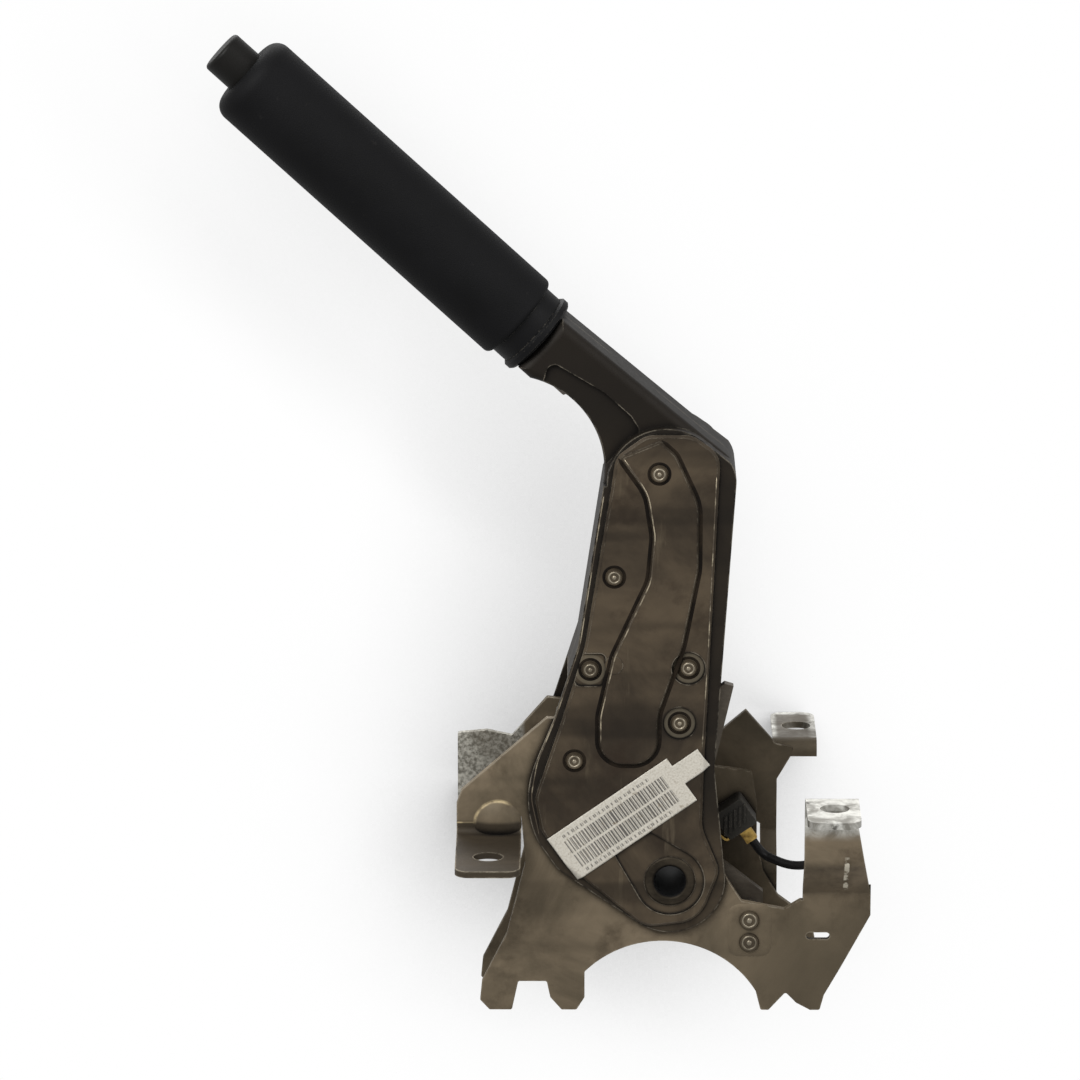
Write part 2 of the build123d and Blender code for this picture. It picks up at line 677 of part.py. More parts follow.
# Base plates: front wing, two notched feet, an arch between them, and the rise behind the arm
NEAR_LEFT = [(-44.3, 60.1), (-74.9, 33.1), (-76.7, 28.0)]
FAR_LEFT = [(-44.3, 60.1), (-57.0, 45.5), (-66.0, 47.5), (-76.7, 46.5)]
PLATE_LEFT = [
    (-76.7, 24.0),
    (-53.5, 24.0),
    (-52.0, 6.0),
    (-58.7, -20.9),
    (-67.7, -38.9),
    (-68.4, -46.0),
    (-65.0, FOOT_Z),
    (-56.9, FOOT_Z),
    (-54.6, -38.9),
    (-44.3, -38.9),
    (-43.0, -45.0),
    (-38.9, FOOT_Z),
    (-33.5, FOOT_Z),
    (-30.6, -45.0),
    (-30.6, -35.3),
]
ARCH_TOP = (2.0, -23.8)
RIGHT_FOOT = [
    (31.3, -42.5),
    (33.1, FOOT_Z),
    (36.0, FOOT_Z),
    (42.1, -43.0),
    (46.0, -47.0),
    (51.0, FOOT_Z),
    (54.5, FOOT_Z),
    (56.0, -44.0),
]
NEAR_RIGHT = [(61.9, -33.5), (72.5, -13.7), (72.5, -8.0), (47.0, -8.0), (41.4, -11.5), (26.0, -8.5)]
NEAR_RISE = [(20.5, 0.0), (16.5, 10.0)]
FAR_RIGHT = [
    (52.0, -24.0),
    (40.0, -15.0),
    (34.5, -6.0),
    (32.0, 6.0),
    (32.0, 20.0),
    (30.0, 32.0),
    (16.5, 34.0),
]
PLATE_RISE_ANGLE = 78.0
PLATE_LEFT_ANGLE = 117.0
PLATE_ROUND = 0.8
SLIT = (53.6, -21.6)


def base_outline(left_side, right_side):
    """One base plate; its wing and its right-hand side are given, and the rest is common."""
    with BuildSketch(mode=Mode.PRIVATE) as outline:
        with BuildLine():
            Polyline(*left_side, *PLATE_LEFT)
            ThreePointArc(PLATE_LEFT[-1], ARCH_TOP, RIGHT_FOOT[0])
            Polyline(*RIGHT_FOOT, *right_side, polar(PLATE_TOP_R, PLATE_RISE_ANGLE))
            ThreePointArc(
                polar(PLATE_TOP_R, PLATE_RISE_ANGLE),
                polar(PLATE_TOP_R, 97),
                polar(PLATE_TOP_R, PLATE_LEFT_ANGLE),
            )
            Line(polar(PLATE_TOP_R, PLATE_LEFT_ANGLE), left_side[0])
        make_face()
        fillet(outline.vertices(), radius=PLATE_ROUND)
        Circle(BUSH_R, mode=Mode.SUBTRACT)
        with Locations(*BASE_RIVETS):
            Circle(RIVET_R, mode=Mode.SUBTRACT)
    return outline.sketch


def bent_strip(path, start, width):
    """A folded strip of the base sheet: its middle line in Y and Z, run along X."""
    with BuildPart(mode=Mode.PRIVATE) as strip:
        with BuildSketch(Plane.YZ.offset(start)):
            with BuildLine():
                FilletPolyline(*path, radius=BEND_R)
            trace(line_width=BASE_SHEET)
        extrude(amount=width)
    return strip.part


def flange_corners(plate, side):
    """The upright edges at the outer end of each flange of a plate."""
    upright = plate.edges().filter_by(Axis.Z)
    return upright.filter_by(lambda edge: abs(edge.center().Y - side * FLANGE_REACH) < 0.01)


HALF_SHEET = BASE_SHEET / 2
PLATE_MID = BASE_FACE - HALF_SHEET
NEAR_TAB_MID = NEAR_TAB_FACE - HALF_SHEET
FAR_TAB_MID = FAR_TAB_FACE - HALF_SHEET
LEFT_FLANGE_MID = LEFT_FLANGE_TOP - HALF_SHEET
RIGHT_FLANGE_MID = RIGHT_FLANGE_TOP - HALF_SHEET
FAR_FLANGE_MID = FAR_FLANGE_TOP - HALF_SHEET
WING_X0 = -76.7
WING_X1 = -53.5
WING_FOLD_Z = 24.0
TAB_X0 = 48.0
TAB_X1 = 72.5
TAB_FLANGE_X1 = 67.0
TAB_FOLD_Z = -8.0

near_wing_path = [
    (-PLATE_MID, WING_FOLD_Z),
    (-PLATE_MID, LEFT_FLANGE_MID),
    (-FLANGE_REACH, LEFT_FLANGE_MID),
]
far_wing_path = [(-y, z) for y, z in near_wing_path]
TAB_ROOT = 4.0
TAB_STRAIGHT = 3.0
TAB_SLOPE_RISE = 18.0
TAB_LEAN_START = 2.0
TAB_LEAN_DROP = 10.0
near_tab_path = [
    (-PLATE_MID, TAB_FOLD_Z - TAB_ROOT),
    (-PLATE_MID, TAB_FOLD_Z + TAB_STRAIGHT),
    (-NEAR_TAB_MID, TAB_FOLD_Z + TAB_SLOPE_RISE),
    (-NEAR_TAB_MID, RIGHT_FLANGE_MID),
    (-FLANGE_REACH, RIGHT_FLANGE_MID),
]

with BuildPart() as near_base_plate:
    with BuildSketch(side_plane(BASE_INNER)):
        add(base_outline(NEAR_LEFT, [*NEAR_RIGHT, *NEAR_RISE]))
    extrude(amount=BASE_SHEET)
    add(bent_strip(near_wing_path, WING_X0, WING_X1 - WING_X0))
    add(bent_strip(near_tab_path, TAB_X0, TAB_X1 - TAB_X0))
    # The flange is narrower than the tab, whose rear edge leans to meet it
    with BuildSketch(side_plane(BASE_FACE)):
        with BuildLine():
            Polyline(
                (TAB_X1, TAB_FOLD_Z + TAB_LEAN_START),
                (TAB_FLANGE_X1, RIGHT_FLANGE_TOP - TAB_LEAN_DROP),
                (TAB_FLANGE_X1, RIGHT_FLANGE_TOP + 1),
                (TAB_X1 + 1, RIGHT_FLANGE_TOP + 1),
                (TAB_X1 + 1, TAB_FOLD_Z + TAB_LEAN_START),
                close=True,
            )
        make_face()
    extrude(amount=FLANGE_REACH, mode=Mode.SUBTRACT)
    fillet(flange_corners(near_base_plate, -1), radius=FLANGE_CORNER)
    with Locations((LEFT_BOLT_X, -BOLT_Y, LEFT_FLANGE_TOP), (RIGHT_BOLT_X, -BOLT_Y, RIGHT_FLANGE_TOP)):
        Cylinder(BOLT_HOLE_R, 3 * BASE_SHEET, mode=Mode.SUBTRACT)
    with BuildSketch(side_plane(BASE_INNER)):
        with Locations(SLIT):
            SlotOverall(8.5, 2.6)
    extrude(amount=BASE_SHEET, mode=Mode.SUBTRACT)
near_base_plate.part.label = "near_base_plate"
export_step(near_base_plate.part, "parts/near_base_plate.step")

with BuildPart() as far_base_plate:
    with BuildSketch(side_plane(-BASE_FACE)):
        add(base_outline(FAR_LEFT, FAR_RIGHT))
    extrude(amount=BASE_SHEET)
    add(bent_strip(far_wing_path, WING_X0, WING_X1 - WING_X0))
    fillet(flange_corners(far_base_plate, 1), radius=FLANGE_CORNER)
    with Locations((LEFT_BOLT_X, BOLT_Y, LEFT_FLANGE_TOP)):
        Cylinder(BOLT_HOLE_R, 3 * BASE_SHEET, mode=Mode.SUBTRACT)
far_base_plate.part.label = "far_base_plate"
export_step(far_base_plate.part, "parts/far_base_plate.step")

# Rear bracket welded to the far plate, with a raised gusset and the fourth bolt flange
GUSSET = [
    (33.5, 9.0),
    (39.5, 9.0),
    (39.5, 26.0),
    (45.0, 35.5),
    (45.0, 38.0),
    (39.0, 39.3),
    (28.0, 52.0),
    (14.0, 40.0),
    (14.0, 22.0),
]
GUSSET_ROUND = 0.2
ROOT_X0 = 33.5
ROOT_X1 = 39.5
FAR_FLANGE_X0 = 38.0
FAR_FLANGE_X1 = 54.0
FAR_FLANGE_DROP = 6.0
ROOT_MID = BASE_FACE + HALF_SHEET
root_path = [(ROOT_MID, -24.0), (ROOT_MID, -6.0), (FAR_TAB_MID, 6.0), (FAR_TAB_MID, 14.0)]
far_flange_path = [
    (FAR_TAB_MID, FAR_FLANGE_TOP - FAR_FLANGE_DROP),
    (FAR_TAB_MID, FAR_FLANGE_MID),
    (FLANGE_REACH, FAR_FLANGE_MID),
]

with BuildPart() as rear_bracket:
    with BuildSketch(side_plane(-FAR_TAB_FACE)):
        add(rounded_polygon([(corner, GUSSET_ROUND) for corner in GUSSET]))
    extrude(amount=BASE_SHEET)
    add(bent_strip(root_path, ROOT_X0, ROOT_X1 - ROOT_X0))
    add(bent_strip(far_flange_path, FAR_FLANGE_X0, FAR_FLANGE_X1 - FAR_FLANGE_X0))
    fillet(flange_corners(rear_bracket, 1), radius=FLANGE_CORNER)
    with Locations((FAR_RIGHT_BOLT_X, BOLT_Y, FAR_FLANGE_TOP)):
        Cylinder(BOLT_HOLE_R, 3 * BASE_SHEET, mode=Mode.SUBTRACT)
rear_bracket.part.label = "rear_bracket"
export_step(rear_bracket.part, "parts/rear_bracket.step")

# Rivets and sleeves that hold the plates and the sector together
SHOWN_RIVETS = BASE_RIVETS[1:]

with BuildPart() as base_rivets:
    with BuildSketch(side_plane(0)):
        with Locations(*BASE_RIVETS):
            Circle(RIVET_R)
    extrude(amount=BASE_FACE)
    with BuildSketch(side_plane(BASE_FACE)):
        with Locations(*SHOWN_RIVETS):
            Circle(RIVET_HEAD_R)
    extrude(amount=RIVET_HEAD, taper=RIVET_DRAFT)
    mirror(about=Plane.XZ)
base_rivets.part.label = "base_rivets"
export_step(base_rivets.part, "parts/base_rivets.step")

with BuildPart() as base_spacers:
    for low in (SECTOR_T / 2, -BASE_INNER):
        with BuildSketch(side_plane(low)):
            with Locations(*BASE_RIVETS):
                Circle(SPACER_R)
            with Locations(*BASE_RIVETS):
                Circle(RIVET_R, mode=Mode.SUBTRACT)
        extrude(amount=BASE_INNER - SECTOR_T / 2)
base_spacers.part.label = "base_spacers"
export_step(base_spacers.part, "parts/base_spacers.step")

# Cable drum on the pivot tube, with its groove and the cam that meets the switch
GROOVE_Y = (DRUM_Y0 + CAM_WIDTH + DRUM_Y1) / 2
CABLE_HOOK = polar(DRUM_R - 3.0, 200)
CAM_ROOT = 1.0
CAM_DWELL = 8.0
CAM_RUN_IN = 20.0
CAM_RUN_OUT = 12.0

with BuildPart() as cable_drum:
    with BuildSketch(side_plane(-DRUM_Y1)):
        Circle(DRUM_R)
    extrude(amount=DRUM_Y1 - DRUM_Y0)
    with BuildSketch(side_plane(-DRUM_Y0 - CAM_WIDTH)):
        with BuildLine():
            ThreePointArc(
                polar(CAM_R, SWITCH_ANGLE - CAM_DWELL),
                polar(CAM_R, SWITCH_ANGLE - CAM_DWELL / 2),
                polar(CAM_R, SWITCH_ANGLE),
            )
            ThreePointArc(
                polar(CAM_R, SWITCH_ANGLE),
                polar(CAM_R - CAM_FALL / 2, SWITCH_ANGLE + PULL_RANGE / 2),
                polar(CAM_R - CAM_FALL, SWITCH_ANGLE + PULL_RANGE),
            )
            Polyline(
                polar(CAM_R - CAM_FALL, SWITCH_ANGLE + PULL_RANGE),
                polar(DRUM_R - CAM_ROOT, SWITCH_ANGLE + PULL_RANGE + CAM_RUN_OUT),
                polar(DRUM_R - CAM_ROOT, SWITCH_ANGLE - CAM_RUN_IN),
                polar(CAM_R, SWITCH_ANGLE - CAM_DWELL),
            )
        make_face()
    extrude(amount=CAM_WIDTH)
    with BuildSketch(side_plane(-DRUM_Y1)):
        Circle(PIVOT_TUBE_R)
    extrude(amount=DRUM_Y1 - DRUM_Y0, mode=Mode.SUBTRACT)
    with BuildSketch(side_plane(-DRUM_Y1)):
        with Locations(CABLE_HOOK):
            Circle(GROOVE_R)
    extrude(amount=DRUM_Y1 - DRUM_Y0 - CAM_WIDTH, mode=Mode.SUBTRACT)
    with BuildSketch(Plane.XY):
        with Locations((DRUM_R, GROOVE_Y)):
            Circle(GROOVE_R)
    revolve(axis=Axis.Y, mode=Mode.SUBTRACT)
cable_drum.part.label = "cable_drum"
export_step(cable_drum.part, "parts/cable_drum.step")

# Warning switch on the inside of the far plate, its contact blade and its terminal
outward = Vector(cos(radians(SWITCH_ANGLE)), 0, sin(radians(SWITCH_ANGLE)))
downward = Vector(sin(radians(SWITCH_ANGLE)), 0, -cos(radians(SWITCH_ANGLE)))
switch_middle = outward * (SWITCH_R0 + SWITCH_LENGTH / 2)
blade_r = CAM_R + BLADE_GAP + BLADE_T / 2
blade_span = SWITCH_WIDTH / 2 - BLADE_T

with BuildPart() as switch_body:
    switch_plane = Plane(origin=switch_middle + Vector(0, BASE_INNER, 0), x_dir=outward, z_dir=(0, -1, 0))
    with BuildSketch(switch_plane):
        RectangleRounded(SWITCH_LENGTH, SWITCH_WIDTH, 1.0)
    extrude(amount=SWITCH_DEPTH)
switch_body.part.label = "switch_body"
export_step(switch_body.part, "parts/switch_body.step")

with BuildPart() as switch_blade:
    with BuildSketch(Plane(origin=(0, DRUM_Y0, 0), x_dir=outward, z_dir=(0, -1, 0))) as blade_side:
        with BuildLine():
            FilletPolyline(
                (SWITCH_R0, -blade_span),
                (blade_r + BLADE_LIFT, -blade_span),
                (blade_r, 0),
                (blade_r + BLADE_LIFT, blade_span),
                radius=BLADE_T,
            )
        trace(line_width=BLADE_T)
    extrude(amount=-BLADE_WIDTH)
switch_blade.part.label = "switch_blade"
export_step(switch_blade.part, "parts/switch_blade.step")

terminal_depth = Vector(0, BASE_INNER - SWITCH_DEPTH / 2, 0)
terminal_start = switch_middle + downward * (SWITCH_WIDTH / 2) + terminal_depth
terminal_end = terminal_start + downward * TERMINAL_LENGTH

with BuildPart() as switch_terminal:
    with BuildSketch(Plane(origin=terminal_start, x_dir=(0, 1, 0), z_dir=downward)):
        Rectangle(TERMINAL_T, TERMINAL_WIDTH)
    extrude(amount=TERMINAL_LENGTH)
switch_terminal.part.label = "switch_terminal"
export_step(switch_terminal.part, "parts/switch_terminal.step")

# Switch lead, from the terminal to the plug clipped inside the near tab
PLUG_LENGTH = 8.0
PLUG_HEIGHT = 7.0
PLUG_X = 57.0
PLUG_Z = 15.5
LEAD_ENTRY = 13.0
LEAD_EXIT = 7.0
plug_front = Vector(PLUG_X, -NEAR_TAB_FACE + BASE_SHEET + PLUG_LENGTH, PLUG_Z)
lead_points = [
    terminal_end,
    terminal_end + downward * LEAD_EXIT,
    Vector(44.0, 0.0, 0.0),
    Vector(53.5, -6.5, 3.0),
    plug_front + Vector(0, LEAD_ENTRY, 0),
    plug_front,
]


def bend_radii(points):
    """The largest easy bend at each corner of a lead's route."""
    radii = []
    for before, corner, after in zip(points, points[1:], points[2:]):
        turn = (corner - before).get_angle(after - corner)
        run = min((corner - before).length, (after - corner).length)
        radii.append(0.45 * run / tan(radians(turn / 2)))
    return radii


lead_radii = bend_radii(lead_points)
print("lead radii", [round(radius, 1) for radius in lead_radii])

with BuildPart() as switch_lead:
    with BuildLine() as lead_path:
        FilletPolyline(*lead_points, radius=lead_radii)
    with BuildSketch(Plane(origin=lead_path.line @ 0, z_dir=lead_path.line % 0)):
        Circle(LEAD_R)
    sweep(path=lead_path.line)
switch_lead.part.label = "switch_lead"
export_step(switch_lead.part, "parts/switch_lead.step")

with BuildPart() as lead_plug:
    with BuildSketch(side_plane(-plug_front.Y)):
        with Locations((plug_front.X, plug_front.Z)):
            RectangleRounded(PLUG_HEIGHT, PLUG_HEIGHT, 1.0)
    extrude(amount=PLUG_LENGTH)
lead_plug.part.label = "lead_plug"
export_step(lead_plug.part, "parts/lead_plug.step")
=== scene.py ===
from math import cos, pi, radians, sin, tan

import bmesh
import bpy
from mathutils import Matrix, Vector


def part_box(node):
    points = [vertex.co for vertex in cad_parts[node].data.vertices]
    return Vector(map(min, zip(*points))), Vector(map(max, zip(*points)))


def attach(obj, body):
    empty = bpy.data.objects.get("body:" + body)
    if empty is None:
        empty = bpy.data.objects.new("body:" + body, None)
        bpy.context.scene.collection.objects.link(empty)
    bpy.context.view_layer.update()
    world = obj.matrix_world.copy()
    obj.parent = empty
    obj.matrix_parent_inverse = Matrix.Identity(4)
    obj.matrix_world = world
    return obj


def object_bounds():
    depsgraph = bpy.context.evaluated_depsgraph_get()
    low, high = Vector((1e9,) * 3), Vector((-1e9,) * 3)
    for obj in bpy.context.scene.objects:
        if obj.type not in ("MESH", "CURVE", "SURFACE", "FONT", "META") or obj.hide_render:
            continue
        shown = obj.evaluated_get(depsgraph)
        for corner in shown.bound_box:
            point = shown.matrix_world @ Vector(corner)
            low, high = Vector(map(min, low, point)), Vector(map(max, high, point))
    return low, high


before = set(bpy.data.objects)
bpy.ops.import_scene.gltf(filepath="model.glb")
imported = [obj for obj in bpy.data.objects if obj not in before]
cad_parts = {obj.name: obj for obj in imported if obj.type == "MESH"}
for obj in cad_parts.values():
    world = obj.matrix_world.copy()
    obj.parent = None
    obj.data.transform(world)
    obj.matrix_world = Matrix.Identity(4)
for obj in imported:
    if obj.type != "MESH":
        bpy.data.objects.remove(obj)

bl_info = {
    "name": "Parking brake lever looks",
    "version": (1, 0, 0),
    "blender": (4, 5, 0),
    "location": "View3D > Sidebar > Brake lever",
    "description": "Finishes, small pieces, stage and camera for a used parking brake lever",
    "category": "Object",
}

CAD_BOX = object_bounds()

# Places on the arm, in millimetres: x to the rear and z up, with a face's depth from the middle plane
RIM_FACE = 17.2
PAD_FACE = 19.0
CHANNEL_FACE = 20.0
SEAT_R = 6.0
SEAT_DROP = 0.8
ROUND_SEATS = [(6.3, 79.6), (3.2, 59.2)]
SQUARE_SEAT = (-28.8, 79.0)
PAD_RIVETS = [(-20.3, 113.3), (-34.4, 45.3)]
CHANNEL_RIVET = (-4.4, 151.3)
ARM_RIVETS = [
    (CHANNEL_RIVET, CHANNEL_FACE), *((spot, PAD_FACE) for spot in PAD_RIVETS),
    *((spot, PAD_FACE - SEAT_DROP) for spot in (*ROUND_SEATS, SQUARE_SEAT)),
]
RIVET_TOP = 1.05
# Size of the dark ring of painted shade and grease round each rivet
SHADE_RING_REACH, SHADE_RING_ROUNDING = 3.75, 3.7
PAWL_PIN = (-20.37, 80.91)
PIN_COVER_R = 3.08
PIN_COVER_RISE = 0.012
CHANNEL_KNEE = (-20.8, 84.0)
CHANNEL_LEAN_BELOW, CHANNEL_LEAN_ABOVE = 0.227, 0.457
CHANNEL_DRAFT = 0.59

# Lines on the arm: a corner is a place and the radius that rounds it, and open lines narrow to their tips
CHANNEL_CORNERS = [
    ((-4.0, 163.0), 1.5), ((-18.6, 157.0), 1.5), ((-9.0, 143.5), 16.0), ((-6.6, 128.0), 14.0),
    ((-8.0, 112.0), 16.0), (CHANNEL_KNEE, 16.0), ((-25.8, 62.0), 16.0), ((-25.8, 43.8), 9.0),
    ((-4.4, 43.8), 9.0), ((-4.4, 62.0), 14.0), ((4.4, 88.0), 20.0), ((9.8, 116.0), 20.0),
    ((9.8, 140.0), 18.0), ((1.5, 158.0), 6.0),
]
GROOVE_LINE = [*CHANNEL_CORNERS[1:], CHANNEL_CORNERS[0]]
# Painted highlight lines: along the channel's left edge, the pad's right edge and the arm's left rim
CHANNEL_HIGHLIGHT = [((-17.6, 156.2), 0.0), *CHANNEL_CORNERS[2:7], ((-25.8, 52.0), 0.0)]
PAD_HIGHLIGHT = [((15.9, 150.0), 0.0), ((13.2, 84.0), 60.0), ((11.3, 50.0), 0.0)]
RIM_HIGHLIGHT = [
    ((-24.0, 143.0), 0.0), ((-32.5, 87.2), 40.0), ((-41.2, 60.3), 20.0), ((-47.7, 44.0), 20.0),
    ((-50.0, 31.0), 16.0), ((-46.9, 16.5), 0.0),
]
LINE_TAPER = 2.0
LINE_TIP = 0.15
LINE_SECTION = [(-1.0, -0.3), (-0.8, 0.5), (-0.4, 0.9), (0.0, 1.0), (0.4, 0.9), (0.8, 0.5), (1.0, -0.3)]
ARC_STEPS = 8

# The label, in millimetres: u runs along it and v down it. A pad edge is a place on it and its outward way
LABEL_CORNER = (-44.6, 15.6)
LABEL_CELL = 0.5
LABEL_START = 0.6
TAIL_END = 64.0
TAIL_SIDES = (3.4, 11.4)
PAPER_FACE = 19.12
PAPER_DROP = 1.62
PAD_EDGES = [((-38.0, 6.6), (-0.638, -0.771)), ((-46.4, 19.0), (-0.828, -0.561)), ((11.9, 0.0), (1.0, 0.0))]
PAPER_THICKNESS = 0.12

# Places on the base, in metres
PLATE_FACE = 0.01497
WING_BUMP = (-0.0618, 0.0205)
RIVET_PAD = (0.0290, -0.0195)
BASE_RIVETS = [(0.0288, -0.0155), (0.0288, -0.0239)]
BASE_RIVET_TOP = 0.01635
WELD_COLUMNS = ((0.0335, 20), (0.0395, 9))
WELD_FACE = 0.01505
WELD_FOOT = -0.0236
WELD_STEP = 0.00085
SWITCH_TILT = radians(35.0)
RIBS = 5
RIB_STEP = 0.0021

# The stage, in metres
BACKDROP_GAP = 0.002
BACKDROP_REACH = 3.0
CAMERA_TARGET = (-0.0468, 0.0, 0.1220)
LAMP_TARGET = (-0.03, 0.0, 0.12)
SENSOR_MM = 36.0
FRAME_HEIGHT = 1080 * 0.000358


# Node trees, written as sums

class Wire:
    """One output of a node, which can be added, multiplied and compared as if it were a number."""

    def __init__(self, bench, socket):
        self.bench = bench
        self.socket = socket

    def math(self, operation, other=None, flipped=False, clamped=False):
        values = [self] if other is None else [self, other]
        if flipped:
            values.reverse()
        settings = {"operation": operation, "use_clamp": clamped}
        return self.bench.wire("ShaderNodeMath", 0, settings, dict(enumerate(values)))

    def __add__(self, other):
        return self.math("ADD", other)

    def __radd__(self, other):
        return self.math("ADD", other, True)

    def __sub__(self, other):
        return self.math("SUBTRACT", other)

    def __rsub__(self, other):
        return self.math("SUBTRACT", other, True)

    def __mul__(self, other):
        return self.math("MULTIPLY", other)

    def __rmul__(self, other):
        return self.math("MULTIPLY", other, True)

    def __pow__(self, other):
        return self.math("POWER", other)

    def __abs__(self):
        return self.math("ABSOLUTE")

    def sine(self):
        return self.math("SINE")

    def most(self, other):
        return self.math("MAXIMUM", other)

    def clamp(self):
        return self.math("ADD", 0.0, clamped=True)

    def step(self, low, high):
        """0 below low, 1 above high and a smooth rise between them."""
        settings = {"interpolation_type": "SMOOTHSTEP"}
        values = {"Value": self, "From Min": low, "From Max": high}
        return self.bench.wire("ShaderNodeMapRange", "Result", settings, values)

    def fall(self, low, high):
        """1 below low, 0 above high and a smooth fall between them."""
        return 1.0 - self.step(low, high)

    def band(self, start, full, fade, end):
        """1 from full to fade, 0 before start and past end, and smooth between them."""
        return self.step(start, full) * self.fall(fade, end)


class Bench:
    """A node tree, and the one way in which nodes are put in it."""

    def __init__(self, tree):
        self.tree = tree

    def node(self, kind, settings=None, values=None):
        """A node of a type, with its settings made first and then its sockets' values or links."""
        node = self.tree.nodes.new(kind)
        for name, value in (settings or {}).items():
            setattr(node, name, value)
        for name, value in (values or {}).items():
            if isinstance(value, Wire):
                self.tree.links.new(value.socket, node.inputs[name])
            else:
                node.inputs[name].default_value = value
        return node

    def wire(self, kind, output, settings=None, values=None):
        return Wire(self, self.node(kind, settings, values).outputs[output])


class Finish(Bench):
    """A material that reads Object coordinates, or the piece's own map."""

    def __init__(self, name, uses_map=False):
        self.material = bpy.data.materials.new(name)
        self.material.use_nodes = True
        super().__init__(self.material.node_tree)
        self.tree.nodes.clear()
        self.place = self.wire("ShaderNodeTexCoord", "UV" if uses_map else "Object")

    def parts(self):
        """X, Y and Z of the place, in the unit of its coordinates."""
        split = self.node("ShaderNodeSeparateXYZ", None, {0: self.place})
        return [Wire(self, socket) for socket in split.outputs]

    def moved(self, scale=(1, 1, 1), turn=(0, 0, 0), shift=(0, 0, 0)):
        values = {"Vector": self.place, "Location": shift, "Rotation": turn, "Scale": scale}
        return self.wire("ShaderNodeMapping", "Vector", None, values)

    def noise(self, scale, detail=4.0, rough=0.55, place=None, twist=0.0):
        values = {"Vector": place or self.place, "Scale": scale, "Detail": detail, "Roughness": rough,
                  "Distortion": twist}
        return self.wire("ShaderNodeTexNoise", "Fac", None, values)

    def cells(self, scale):
        return self.wire("ShaderNodeTexVoronoi", "Distance", None, {"Vector": self.place, "Scale": scale})

    def blend(self, low, high, share):
        """The first colour where share is 0 and the second where it is 1."""
        low = low if isinstance(low, Wire) else (*low, 1.0)
        high = high if isinstance(high, Wire) else (*high, 1.0)
        settings = {"data_type": "RGBA"}
        return self.wire("ShaderNodeMix", 2, settings, {0: share, 6: low, 7: high})

    def crevice(self, reach):
        """1 in the open, and towards 0 in creases and corners."""
        settings = {"samples": 8, "only_local": False}
        return self.wire("ShaderNodeAmbientOcclusion", "AO", settings, {"Distance": reach})

    def edge(self, radius):
        """0 on flats and more on sharp edges."""
        rounded = self.wire("ShaderNodeBevel", "Normal", {"samples": 6}, {"Radius": radius})
        flat = self.wire("ShaderNodeNewGeometry", "Normal")
        settings = {"operation": "DOT_PRODUCT"}
        return 1.0 - self.wire("ShaderNodeVectorMath", "Value", settings, {0: rounded, 1: flat})

    def bump(self, height, strength, distance):
        values = {"Height": height, "Strength": strength, "Distance": distance}
        return self.wire("ShaderNodeBump", "Normal", None, values)

    def close(self, colour, rough, metal=0.0, normal=None, shine=0.5):
        """Joins the shader: what varies is a wire, and what doesn't is set on the shader's own sockets."""
        values = {"Base Color": colour, "Roughness": rough, "Metallic": metal, "Specular IOR Level": shine}
        if normal is not None:
            values["Normal"] = normal
        shader = self.wire("ShaderNodeBsdfPrincipled", 0, None, values)
        self.node("ShaderNodeOutputMaterial", None, {"Surface": shader})
        return self.material


def rgb(red, green, blue):
    """A colour given as it looks on a screen, made linear."""
    def linear(value):
        value /= 255.0
        return value / 12.92 if value <= 0.04045 else ((value + 0.055) / 1.055) ** 2.4
    return (linear(red), linear(green), linear(blue))


def scaled(tone, share):
    """A colour made darker or lighter by a share."""
    return tuple(share * part for part in tone)


# Finishes

